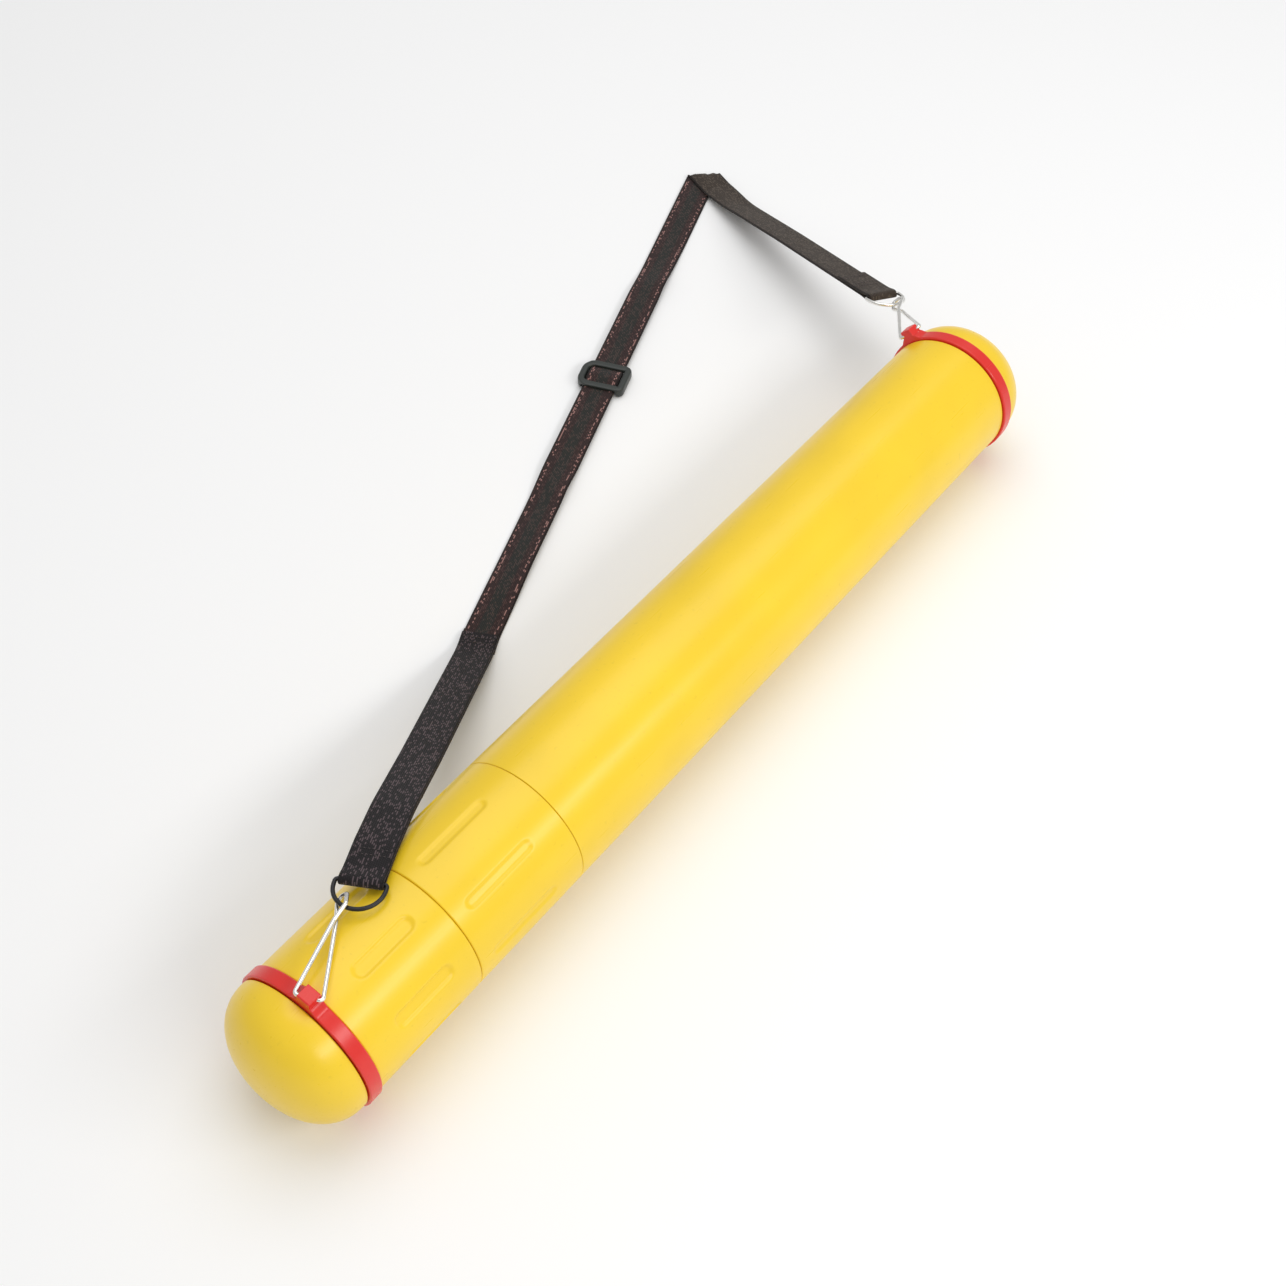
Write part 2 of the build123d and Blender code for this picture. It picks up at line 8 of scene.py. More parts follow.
import bpy
import numpy as np
from bpy.props import FloatProperty, FloatVectorProperty, IntProperty, PointerProperty
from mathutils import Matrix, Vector


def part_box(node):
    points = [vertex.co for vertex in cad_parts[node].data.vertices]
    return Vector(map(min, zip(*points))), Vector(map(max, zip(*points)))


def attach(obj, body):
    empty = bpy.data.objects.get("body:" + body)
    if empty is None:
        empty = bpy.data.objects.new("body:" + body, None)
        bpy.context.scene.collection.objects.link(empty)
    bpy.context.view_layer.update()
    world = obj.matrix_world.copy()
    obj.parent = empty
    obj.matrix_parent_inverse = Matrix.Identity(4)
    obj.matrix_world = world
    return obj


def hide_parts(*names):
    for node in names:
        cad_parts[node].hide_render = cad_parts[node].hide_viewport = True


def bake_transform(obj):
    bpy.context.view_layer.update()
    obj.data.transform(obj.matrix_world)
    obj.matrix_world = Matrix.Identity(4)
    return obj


bl_info = {
    "name": "Telescopic carrying tube",
    "version": (1, 0, 0),
    "blender": (4, 5, 0),
    "location": "3D View > Sidebar > Carrying tube",
    "description": "A telescopic carrying tube with strap rings, wire clips and a webbing strap",
    "category": "Add Mesh",
}

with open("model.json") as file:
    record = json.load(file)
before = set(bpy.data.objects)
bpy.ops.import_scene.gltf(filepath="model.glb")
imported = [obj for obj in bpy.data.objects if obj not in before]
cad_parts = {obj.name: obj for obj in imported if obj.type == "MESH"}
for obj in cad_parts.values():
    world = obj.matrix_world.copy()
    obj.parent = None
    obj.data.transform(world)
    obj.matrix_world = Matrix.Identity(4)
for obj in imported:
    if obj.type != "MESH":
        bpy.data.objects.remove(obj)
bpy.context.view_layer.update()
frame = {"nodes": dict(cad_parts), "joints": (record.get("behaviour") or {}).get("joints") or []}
MM = 0.001
UP = np.array((0.0, 0.0, 1.0))


# ---- places read from the frame ------------------------------------------------------------------
def unit(vector):
    """A vector, or a whole array of them, brought to length one."""
    vector = np.asarray(vector, float)
    return vector / np.linalg.norm(vector, axis=-1, keepdims=True)


def box(node):
    """Lowest and highest corner of a frame node as arrays."""
    low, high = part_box(node)
    return np.array(low), np.array(high)


def joint(name):
    """Place and direction of a frame joint."""
    found = next(entry for entry in frame["joints"] if entry["name"] == name)
    return np.array(found.get("pos_m", (0, 0, 0)), float), unit(found["axis"])


TUBE_LOW, TUBE_HIGH = box("outer_tube")
TUBE_R = (TUBE_HIGH[2] - TUBE_LOW[2]) / 2
AXIS_Y, AXIS_Z = (TUBE_LOW[1:] + TUBE_HIGH[1:]) / 2
NEAR_RING_LOW, NEAR_RING_HIGH = box("near_strap_ring")
FAR_RING_LOW, FAR_RING_HIGH = box("far_strap_ring")
COLLAR_LOW, COLLAR_HIGH = box("lock_collar")
GRIP_LOW, GRIP_HIGH = box("grip_sleeve")
RING_R = AXIS_Z
PASSING_GAP = TUBE_LOW[0] - COLLAR_HIGH[0]
NEAR_PIVOT = joint("near_clip_swing")[0]
FAR_PIVOT = joint("far_clip_swing")[0]
LONG_WAY = joint("slider_move")[1]
SLIDER_MIDDLE = sum(box("strap_slider")) / 2

# Small fits and lengths, in metres.
WIRE_CLEAR = 0.0001         # from the webbing to a D ring's bar, or to midway between two layers
LAYER_GAP = 0.0002          # between two layers of webbing
D_PLAY = 0.0005             # between the webbing's edge and the D ring's wire
DOUBLED_BENDS = ((0.0248, 0.005), (0.0528, 0.014), (0.0988, 0.035))  # along and down from the bar
PART_ENDS = (0.0, 0.030, 0.062, 1.0)  # from the bar, where the webbing passes from body to body
SEWN_LEAD = 0.014           # stays with the D ring before the webbing starts to bend
BAR_ROWS = (0.016, 0.019)   # rows of stitches behind the bar
AFTER_PEAK = 0.020          # long run past its crease
LANDING_LEAD = 0.012        # long run tucked under the doubled webbing
ROLL = np.radians(9)        # of the long run, away from the slider
FLAT_REACH = 0.0845         # half the slider and its travel: here the long run lies flat and lifted
LIFT_RAMP = 0.040
ROLL_RAMP = 0.025
SLIDER_LENGTH, SLIDER_WIDTH = 0.025, 0.033
BAR_HEIGHT = 0.0022
BAR_CLEAR = 0.0003          # between the slider's middle bar and the webbing
WEB_LIFT = 0.0027           # of the long run, over the slider's middle bar
PIN_END, CLIP_TWIST, LOOP_STRAIGHT = 0.0022, 0.0004, 0.0008
CLIP_BENDS = np.array((0, 1.6, 8, 2.4, 1.2, 1.2, 2.4, 8, 1.6, 0)) * MM


# ---- settings ------------------------------------------------------------------------------------
def size(name, description, millimetres):
    """A length that a user may change."""
    return FloatProperty(
        name=name, description=description, default=millimetres * MM, unit="LENGTH", precision=4
    )


def angle(name, description, degrees):
    """An angle that a user may change."""
    return FloatProperty(
        name=name, description=description, default=np.radians(degrees), subtype="ANGLE"
    )


def colour(name, description, value):
    """A linear colour that a user may change."""
    return FloatVectorProperty(
        name=name, description=description, default=value, size=3, min=0, max=1, subtype="COLOR"
    )


class TubeSettings(bpy.types.PropertyGroup):
    """The moulded yellow pieces."""

    plastic: colour("Plastic", "Colour of the tube, its sleeves and its domes", (0.90, 0.61, 0.022))
    wall: size("Tube wall", "Wall of the outer tube", 2.2)
    inner_wall: size("Inner wall", "Wall of the inner tube", 1.6)
    dome_wall: size("Dome wall", "Wall of the domed ends", 2.4)
    lip: size("Dome lip", "Straight stretch at a dome's foot", 1.7)
    neck_step: size("Ring seat", "How far the near ring's seat lies below the sleeve", 2.4)
    oval_count: IntProperty(
        name="Ovals", description="Long ovals round each sleeve", default=8, min=1
    )
    oval_flank: size("Oval flank", "Width of the slope at an oval's edge", 1.9)
    grip_oval: FloatVectorProperty(
        name="Grip oval", description="Length, width and depth", default=(0.039, 0.0095, 0.0014),
        unit="LENGTH", precision=4,
    )
    grip_oval_from: size("Grip oval start", "From the ring's side of the sleeve", 18)
    grip_oval_turn: angle("Grip oval turn", "First oval from the top, towards +Y", -18)
    collar_oval: FloatVectorProperty(
        name="Collar oval", description="Length, width and depth", default=(0.047, 0.007, 0.0009),
        unit="LENGTH", precision=4,
    )
    collar_oval_from: size("Collar oval start", "From the grip sleeve's side of the collar", 9)
    collar_oval_turn: angle("Collar oval turn", "First oval from the top, towards +Y", -39)


class RingSettings(bpy.types.PropertyGroup):
    """The strap rings with their lugs, the wire clips and the D rings."""

    plastic: colour("Plastic", "Colour of the strap rings", (0.72, 0.025, 0.018))
    crown: size("Lug crown", "Width of the lug's top", 7.6)
    foot: size("Lug foot", "Width of the lug's foot", 20)
    shoulder: size("Lug shoulder", "Height of the lug's foot over the ring", 2.6)
    height: size("Lug height", "Height of the lug over the ring", 7)
    clip_wire: size("Clip wire", "Thickness of the clips' wire", 2.2)
    near_leg: size("Near leg", "From the clip's middle to a leg at the lug", 6.7)
    far_leg: size("Far leg", "From the clip's middle to a leg at the lug", 7.1)
    crossing: size("Crossing", "From the loop back to where the legs cross", 9)
    loop_side: size("Loop side", "Half the width of the clip's loop", 3.0)
    loop_reach: size("Loop reach", "How far the loop goes past the D ring's wire", 5.4)
    ring_wire: size("D ring wire", "Thickness of the D rings' wire", 2.2)
    ring_side: size("D ring side", "Straight stretch beside the D ring's bar", 3)
    ring_corner: size("D ring corner", "Radius of the D ring's corners", 1.6)
    ring_rise: FloatProperty(name="D ring rise", description="Slope towards the clip", default=0.06)
    near_hold: size("Near hold", "Where the clip takes the near D ring, off its middle", 5.8)
    far_hold: size("Far hold", "Where the clip takes the far D ring, off its middle", -2.0)


def place(name, description, millimetres):
    """A place that a user may change: along the tube from a ring, to its side, and up from its
    axis."""
    value = tuple(np.array(millimetres) * MM)
    return FloatVectorProperty(
        name=name, description=description, default=value, size=3, unit="LENGTH", precision=4
    )


class StrapSettings(bpy.types.PropertyGroup):
    """The webbing and its slider."""

    width: size("Width", "Width of the webbing", 22)
    thickness: size("Thickness", "Thickness of the webbing", 1.5)
    near_fold: place("Near fold", "The near D ring's bar, from the near ring", (59, 17, 43.5))
    landing: place("Landing", "Where the doubled webbing ends, from the near ring", (256, 124, 0))
    peak: place("Peak", "The strap's flat fold, from the far ring", (133, 290, 0))
    far_fold: place("Far fold", "The far D ring's bar, from the far ring", (36, 76, 15.5))
    far_lap: size("Far lap", "Length of the sewn lap at the far D ring", 35)
    far_lean: angle("Far lean", "Roll of the webbing at the far D ring", 11)
    slider_bar: size("Slider bar", "Width of the slider's bars and rails", 4.6)
    slider_plastic: colour("Slider plastic", "Colour of the slider", (0.024, 0.029, 0.026))


class StageSettings(bpy.types.PropertyGroup):
    """The camera, the lights and the floor."""

    lens: FloatProperty(name="Lens", description="Focal length", default=50.0, unit="CAMERA")
    heading: angle("Heading", "Way the camera looks, from +X towards +Y", 37.98)
    dip: angle("Dip", "How far the camera looks down", 50.06)
    stand: FloatVectorProperty(
        name="Stand", description="Camera from the floor under the tube's middle",
        default=(-0.496, -0.3637, 0.7964), unit="LENGTH",
    )


def strap_places():
    """The strap's four corners in the frame: near fold, landing, peak and far fold."""
    chosen = bpy.context.scene.carrying_strap
    near = np.array(((NEAR_RING_LOW[0] + NEAR_RING_HIGH[0]) / 2, AXIS_Y, AXIS_Z))
    far = np.array(((FAR_RING_LOW[0] + FAR_RING_HIGH[0]) / 2, AXIS_Y, AXIS_Z))
    landing, peak = near + chosen.landing, far + chosen.peak
    landing[2] = peak[2] = 0
    return near + chosen.near_fold, landing, peak, far + chosen.far_fold


def level(start, end):
    """The level direction from one point to another."""
    return unit((end[0] - start[0], end[1] - start[1], 0))


def bars():
    """The directions of the two D rings' bars: each square to its run, the far one leaning."""
    near_fold, landing, peak, far_fold = strap_places()
    lean = bpy.context.scene.carrying_strap.far_lean
    far_bar = np.cross(UP, level(far_fold, peak)) * np.cos(lean) + UP * np.sin(lean)
    return np.cross(UP, level(near_fold, landing)), far_bar


SETTINGS = {
    "carrying_tube": TubeSettings,
    "carrying_rings": RingSettings,
    "carrying_strap": StrapSettings,
    "carrying_stage": StageSettings,
}


# ---- surfaces ------------------------------------------------------------------------------------
def fillet(points, radii, steps=6, closed=True):
    """Corners rounded by arcs: each arc's centre lies on the corner's bisector, r / sin(half the
    corner's angle) away, and its points turn evenly from one side's foot to the other's."""
    points = np.asarray(points, float)
    radii = np.maximum(np.broadcast_to(np.asarray(radii, float), len(points)), 1e-6)[:, None]
    back = unit(np.roll(points, 1, 0) - points)
    ahead = unit(np.roll(points, -1, 0) - points)
    half = np.arccos(np.clip((back * ahead).sum(1, keepdims=True), -1, 1)) / 2
    centre = points + unit(back + ahead) * radii / np.sin(half)
    first = unit(points + back * radii / np.tan(half) - centre)
    last = unit(points + ahead * radii / np.tan(half) - centre)
    sweep = np.maximum(np.pi - 2 * half, 1e-6)[:, None]
    share = np.linspace(0, 1, steps + 1)[None, :, None]
    spokes = np.sin((1 - share) * sweep) * first[:, None] + np.sin(share * sweep) * last[:, None]
    arcs = centre[:, None] + radii[:, None] * spokes / np.sin(sweep)
    if closed:
        return arcs.reshape(-1, points.shape[1])
    inner = arcs[1:-1].reshape(-1, points.shape[1])
    return np.concatenate([points[:1], inner, points[-1:]])


def sampled(path, spacing, support=0.0006, closed=True):
    """A path's own points, one close to each side of each, and even ones between, by length."""
    if closed:
        path = np.concatenate([path, path[:1]])
    steps = np.linalg.norm(np.diff(path, axis=0), axis=1)
    path = path[np.concatenate([[True], steps > 1e-7])]
    reach = np.concatenate([[0], np.cumsum(steps[steps > 1e-7])])
    even = np.arange(0, reach[-1], spacing)
    marks = np.concatenate([reach, reach - support, reach + support, even])
    marks = np.unique(np.clip(marks, 0, reach[-1]).round(6))
    marks = marks[np.concatenate([[True], np.diff(marks) > 2e-5])]
    made = np.stack([np.interp(marks, reach, column) for column in path.T], -1)
    return made[:-1] if closed else made


def lofted(rings, wrap=False, ends=None):
    """Points and faces of a skin over rings (row, column, xyz). Columns close on themselves.
    Rows close too if wrap is set, or each end is closed by a fan to one of the two ends."""
    rows, columns = rings.shape[:2]
    row = np.arange(rows if wrap else rows - 1)[:, None]
    column = np.arange(columns)[None, :]
    after_row, after = (row + 1) % rows, (column + 1) % columns
    corners = (row * columns + column, row * columns + after,
               after_row * columns + after, after_row * columns + column)
    quads = np.stack(np.broadcast_arrays(*corners), -1).reshape(-1, 4)
    points = rings.reshape(-1, 3)
    fans = np.zeros((0, 3), int)
    if not wrap:
        ends = rings[[0, -1]].mean(1) if ends is None else np.asarray(ends, float)
        points = np.concatenate([points, ends])
        start, stop = len(points) - 2, len(points) - 1
        column, after = column[0], after[0]
        last = (rows - 1) * columns
        first_fan = np.stack([np.full(columns, start), after, column], -1)
        last_fan = np.stack([np.full(columns, stop), last + column, last + after], -1)
        fans = np.concatenate([first_fan, last_fan])
    halves = np.concatenate([quads[:, :3], quads[:, [0, 2, 3]], fans])
    a, b, c = (points[halves[:, k]] for k in range(3))
    if (a * np.cross(b, c)).sum() < 0:
        quads, fans = quads[:, ::-1], fans[:, ::-1]
    return points, quads.tolist() + fans.tolist()


def joined(*skins):
    """Several skins as the points and faces of one."""
    starts = np.cumsum([0] + [len(points) for points, _ in skins])
    faces = [[index + start for index in face]
             for (_, made), start in zip(skins, starts) for face in made]
    return np.concatenate([points for points, _ in skins]), faces


def piece(name, skin, material, rides, stands_for=()):
    """A finished piece from points and faces, smooth, with its material, riding on a body where one
    body is named.
    """
    points, faces = skin
    mesh = bpy.data.meshes.new(name)
    mesh.from_pydata(points.tolist(), [], faces)
    mesh.polygons.foreach_set("use_smooth", np.ones(len(faces), bool))
    mesh.update()
    mesh.set_sharp_from_angle(angle=np.radians(50))
    mesh.materials.append(material)
    made = bpy.data.objects.new(name, mesh)
    bpy.context.scene.collection.objects.link(made)
    if isinstance(rides, str):
        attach(made, rides)
    else:
        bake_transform(made)
    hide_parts(*stands_for)
    return made


def evenly(count):
    """Angles all the way round, the last one short of the first."""
    return np.arange(count) * 2 * np.pi / count


def round_axis(x, radius, turn):
    """A point at a place along the tube, a radius from its axis and an angle from its top."""
    x, radius, turn = np.broadcast_arrays(x, radius, turn)
    return np.stack([x, AXIS_Y + radius * np.sin(turn), AXIS_Z + radius * np.cos(turn)], -1)


def turned(outline, turns=evenly(160), dent=None):
    """An outline of (x, r) carried round the tube's axis; r is less dent(x, turn) where given.
    An outline that starts and ends on the axis closes there, any other closes on itself."""
    poles = outline[0, 1] < 1e-7
    rim = outline[1:-1] if poles else outline
    x, radius = rim[:, :1], rim[:, 1:]
    if dent is not None:
        radius = radius - dent(x, radius, turns[None, :])
    rings = round_axis(x, radius, turns[None, :])
    if not poles:
        return lofted(rings, wrap=True)
    return lofted(rings, ends=round_axis(outline[[0, -1], 0], 0.0, 0.0))


def sleeve_outline(start, stop, outer, inner, edges, spacing=0.01):
    """The outline of a plain sleeve; edges are the outer edges' radii, start first."""
    corners = ((start, inner), (start, outer), (stop, outer), (stop, inner))
    inner_edge = 0.0003
    return sampled(fillet(corners, (inner_edge, *edges, inner_edge)), spacing)


def ease(share):
    """Nought below 0, one above 1 and a smooth S between."""
    share = np.clip(share, 0, 1)
    return share * share * (3 - 2 * share)


def around(turn, middle):
    """The signed angle from middle to turn, by the shorter way."""
    return (turn - middle + np.pi) % (2 * np.pi) - np.pi


def ovals(oval, start, first, count, flank):
    """Dents shaped as long ovals: full depth inside, easing off over the flank at the edge. The
    distance to an oval's edge is that to its middle line less half its width."""
    length, width, depth = oval
    middle = start + length / 2
    pitch = 2 * np.pi / count

    def dent(x, radius, turn):
        nearest = first + np.round((turn - first) / pitch) * pitch
        over = np.maximum(np.abs(x - middle) - (length - width) / 2, 0)
        edge = np.hypot(over, TUBE_R * around(turn, nearest)) - width / 2
        outside = radius > TUBE_R - 0.0015
        return np.where(outside, depth * ease(-edge / flank), 0)

    return dent


def wire(path, radius, guide, closed=False, sides=18):
    """A round wire: a circle carried along a path, set square to it with the guide's help."""
    if closed:
        tangent = unit(np.roll(path, -1, 0) - np.roll(path, 1, 0))
    else:
        tangent = unit(np.gradient(path, axis=0))
    side = unit(np.cross(tangent, guide))
    rise = np.cross(side, tangent)
    turn = evenly(sides)[None, :, None]
    rings = path[:, None] + radius * (side[:, None] * np.cos(turn) + rise[:, None] * np.sin(turn))
    return lofted(rings, wrap=closed)


# ---- materials -----------------------------------------------------------------------------------
def add_node(tree, kind, inputs=None, **settings):
    """A node with its settings and its inputs, each a value or another node's output."""
    made = tree.nodes.new(kind)
    for name, value in settings.items():
        setattr(made, name, value)
    for name, value in (inputs or {}).items():
        if isinstance(value, bpy.types.NodeSocket):
            tree.links.new(value, made.inputs[name])
        else:
            made.inputs[name].default_value = value
    return made


def reckon(tree, operation, *values):
    """The result of a Math node."""
    inputs = dict(enumerate(values))
    return add_node(tree, "ShaderNodeMath", inputs, operation=operation).outputs[0]


def blend_colour(tree, share, first, second):
    """The colour between two, by a share."""
    mixed = add_node(tree, "ShaderNodeMix", {"Factor": share}, data_type="RGBA")
    for name, value in (("A", first), ("B", second)):
        socket = next(s for s in mixed.inputs if s.name == name and s.type == "RGBA")
        if isinstance(value, bpy.types.NodeSocket):
            tree.links.new(value, socket)
        else:
            socket.default_value = (*value, 1)
    return next(s for s in mixed.outputs if s.type == "RGBA")


def noise(tree, place, scale, detail=2.0, roughness=0.5):
    """The strength of a Noise texture at a place."""
    inputs = {"Vector": place, "Scale": scale, "Detail": detail, "Roughness": roughness}
    return add_node(tree, "ShaderNodeTexNoise", inputs).outputs["Fac"]


def spread(tree, value, low, high, start=0.0, stop=1.0):
    """A value from start to stop brought to low to high."""
    inputs = {"Value": value, "From Min": start, "From Max": stop, "To Min": low, "To Max": high}
    return add_node(tree, "ShaderNodeMapRange", inputs).outputs["Result"]


def shader(name, **constants):
    """An empty material's tree and its main shader, with the constant inputs set."""
    material = bpy.data.materials.new(name)
    material.use_nodes = True
    tree = material.node_tree
    main = tree.nodes["Principled BSDF"]
    for socket, value in constants.items():
        main.inputs[socket.replace("_", " ")].default_value = value
    return material, tree, main


def object_place(tree, stretch=(1, 1, 1)):
    """Object coordinates in metres, stretched along the axes."""
    place = add_node(tree, "ShaderNodeTexCoord").outputs["Object"]
    return add_node(tree, "ShaderNodeMapping", {"Vector": place, "Scale": stretch}).outputs[0]


def moulded(name, tint, roughness, grain=0.00005, marks=0.07, **constants):
    """Moulded plastic: slight cloudiness, fine grain, faint draw marks along the tube."""
    material, tree, main = shader(name, **constants)
    place = object_place(tree)
    tint = np.array(tint)
    cloud = spread(tree, noise(tree, place, 14, 3), 0, 1, 0.35, 0.65)
    tinted = blend_colour(tree, cloud, tint * 0.955, np.minimum(tint * 1.03, 1))
    fleck = spread(tree, noise(tree, place, 420, 1), 0, 0.5, 0.66, 0.80)
    tree.links.new(blend_colour(tree, fleck, tinted, tint * 0.86), main.inputs["Base Color"])
    drawn = noise(tree, object_place(tree, (1, 26, 26)), 22, 3, 0.6)
    drawn = spread(tree, drawn, roughness - marks, roughness + marks)
    tree.links.new(drawn, main.inputs["Roughness"])
    skin = reckon(tree, "ADD", noise(tree, place, 900, 2), noise(tree, place, 210, 1))
    inputs = {"Height": skin, "Strength": 0.35, "Distance": grain}
    bump = add_node(tree, "ShaderNodeBump", inputs)
    tree.links.new(bump.outputs["Normal"], main.inputs["Normal"])
    return material


def plated(name, tint, roughness, metallic=1.0):
    """Drawn plated wire, with fine marks and dulled patches; with a near-black tint it stands for
    plated wire darkened as a painted dark reflection.
    """
    material, tree, main = shader(name, Metallic=metallic)
    place = object_place(tree)
    tint = np.array(tint)
    patch = spread(tree, noise(tree, place, 260, 3), 0, 1, 0.45, 0.7)
    tree.links.new(blend_colour(tree, patch, tint, tint * 0.84), main.inputs["Base Color"])
    marks = noise(tree, place, 1500, 2)
    tree.links.new(spread(tree, marks, roughness * 0.7, roughness * 1.5), main.inputs["Roughness"])
    bump = add_node(tree, "ShaderNodeBump", {"Height": marks, "Strength": 0.2, "Distance": 0.00003})
    tree.links.new(bump.outputs["Normal"], main.inputs["Normal"])
    return material


def woven(name, face_tones, reverse_tones):
    """Webbing: ribs along it, picks across it, shifted by half in every other rib. The tones are
    the middle stripe, the ground beside it, the flecks, their share, and how much fainter they are
    away from the edges, on the face and on the reverse."""
    rib, pick, fleck_length = 0.00105, 0.0012, 1.2
    material, tree, main = shader(name, Sheen_Weight=0.10, Sheen_Roughness=0.5)
    main.inputs["Specular IOR Level"].default_value = 0.2
    place = add_node(tree, "ShaderNodeUVMap", uv_map="strap").outputs[0]
    parts = add_node(tree, "ShaderNodeSeparateXYZ", {"Vector": place}).outputs
    along = reckon(tree, "DIVIDE", parts["X"], pick)
    across = reckon(tree, "DIVIDE", parts["Y"], rib)
    row = reckon(tree, "FLOOR", across)
    shift = reckon(tree, "MULTIPLY", reckon(tree, "PINGPONG", row, 1.0), 0.5)
    along = reckon(tree, "ADD", along, shift)
    swell = reckon(tree, "ABSOLUTE", reckon(tree, "SINE", reckon(tree, "MULTIPLY", along, np.pi)))
    crest = reckon(tree, "ABSOLUTE", reckon(tree, "SINE", reckon(tree, "MULTIPLY", across, np.pi)))
    height = reckon(tree, "MULTIPLY", crest, reckon(tree, "MULTIPLY_ADD", swell, 0.6, 0.4))

    cell = reckon(tree, "FLOOR", reckon(tree, "DIVIDE", along, fleck_length))
    spot = add_node(tree, "ShaderNodeCombineXYZ", {"X": cell, "Y": row}).outputs[0]
    chance = add_node(tree, "ShaderNodeTexWhiteNoise", {"Vector": spot}, noise_dimensions="3D")
    chance = chance.outputs["Value"]
    off_middle = reckon(tree, "ABSOLUTE", parts["Y"])
    beside = spread(tree, off_middle, 0, 1, 0.0030, 0.0046)
    inner_side = spread(tree, off_middle, 0, 1, 0.0072, 0.0075)
    outer_side = spread(tree, off_middle, 1, 0, 0.0093, 0.0096)
    towards_edge = reckon(tree, "MULTIPLY", inner_side, outer_side)
    selvage = spread(tree, off_middle, 0, 1, 0.0097, 0.0101)
    side = add_node(tree, "ShaderNodeAttribute", attribute_name="face_side").outputs["Fac"]

    tones = []
    for stripe, ground, fleck, share, faint in (face_tones, reverse_tones):
        cloth = blend_colour(tree, beside, stripe, ground)
        seen = reckon(tree, "GREATER_THAN", chance, 1 - share)
        strength = spread(tree, towards_edge, faint, 1)
        seen = reckon(tree, "MULTIPLY", reckon(tree, "MULTIPLY", seen, crest), strength)
        tones.append(blend_colour(tree, seen, cloth, fleck))
    cloth = blend_colour(tree, side, tones[1], tones[0])
    selvage = reckon(tree, "MULTIPLY", selvage, 0.75)
    cloth = blend_colour(tree, selvage, cloth, (0.008, 0.006, 0.006))
    # painted shade: the base colour darkens toward near black in the hollows between ribs and picks
    painted_weave_shade = spread(tree, height, 0.6, 0.0, 0.0, 0.5)
    cloth = blend_colour(tree, painted_weave_shade, cloth, (0.006, 0.004, 0.004))
    tree.links.new(cloth, main.inputs["Base Color"])
    tree.links.new(spread(tree, height, 0.95, 0.72), main.inputs["Roughness"])
    fuzz = noise(tree, object_place(tree), 2600, 2)
    relief = reckon(tree, "MULTIPLY_ADD", fuzz, 0.35, height)
    bump = add_node(tree, "ShaderNodeBump", {"Height": relief, "Strength": 0.8, "Distance": 0.0003})
    tree.links.new(bump.outputs["Normal"], main.inputs["Normal"])
    return material


FACE_TONES = ((0.022, 0.023, 0.020), (0.034, 0.018, 0.017), (0.36, 0.19, 0.17), 0.36, 0.12)
REVERSE_TONES = ((0.013, 0.011, 0.012), (0.013, 0.011, 0.012), (0.10, 0.072, 0.078), 0.30, 1.0)
BACK_TONES = ((0.052, 0.038, 0.028), (0.046, 0.033, 0.024), (0.11, 0.085, 0.065), 0.3, 0.9)


# ---- tube, sleeves and domes ---------------------------------------------------------------------
def dome_outline(base, way, lip, wall, spigot_r, spigot_end):
    """A domed cap in outline: a half ellipse of power 2.15 outside and inside, a short straight
    lip, a step down to the spigot and the spigot's tube. way is -1 for a dome towards -X."""
    ends = box("near_dome")[0][0] if way < 0 else box("far_dome")[1][0]
    rise = abs(ends - base) - lip
    swing = np.linspace(np.pi / 2, 0, 48)
    power = 2 / 2.15
    arch_x, arch_r = np.sin(swing) ** power, np.cos(swing) ** power
    shoulder = base + way * lip
    outside = np.stack([shoulder + way * rise * arch_x, TUBE_R * arch_r], -1)
    bore = spigot_r - wall * 0.9
    inside = np.stack([shoulder + way * (rise - wall) * arch_x, bore * arch_r], -1)[::-1]
    edge = 0.0005 * way
    foot = np.array([
        (base + edge, TUBE_R), (base + edge * 0.3, TUBE_R - 0.00015), (base, TUBE_R - 0.0005),
        (base, spigot_r), (spigot_end + edge, spigot_r), (spigot_end, spigot_r - 0.0005),
        (spigot_end, bore + 0.0003), (spigot_end + edge, bore),
    ])
    outside[0, 1] = inside[-1, 1] = 0
    outline = np.concatenate([outside, foot, inside])
    return sampled(outline, 0.004, closed=False)


class CARRY_OT_tube(bpy.types.Operator):
    """Outer tube, inner tube and the two domed ends"""

    bl_idname = "carry.tube"
    bl_label = "Tube and domes"

    def execute(self, context):
        chosen = context.scene.carrying_tube
        yellow = moulded("yellow_plastic", chosen.plastic, 0.30, IOR=1.5)
        inner_low, inner_high = box("inner_tube")
        bore = TUBE_R - chosen.wall
        outline = sleeve_outline(TUBE_LOW[0], TUBE_HIGH[0], TUBE_R, bore, (0.0005, 0.0003))
        piece("outer_tube_shell", turned(outline), yellow, "outer", ["outer_tube"])
        inner_r = (inner_high[2] - inner_low[2]) / 2
        outline = sleeve_outline(
            inner_low[0], inner_high[0], inner_r, inner_r - chosen.inner_wall, (0.0004, 0.0004))
        piece("inner_tube_shell", turned(outline), yellow, "inner", ["inner_tube"])

        spigot_r = inner_r - chosen.inner_wall - PASSING_GAP
        near_base = NEAR_RING_LOW[0] - PASSING_GAP
        outline = dome_outline(
            near_base, -1, chosen.lip, chosen.dome_wall, spigot_r, box("near_dome")[1][0])
        piece("near_dome_cap", turned(outline), yellow, "cap", ["near_dome"])
        outline = dome_outline(
            FAR_RING_HIGH[0] + PASSING_GAP, 1, chosen.lip, chosen.dome_wall, bore - 0.00002,
            box("far_dome")[0][0])
        piece("far_dome_end", turned(outline), yellow, "outer", ["far_dome"])
        return {"FINISHED"}


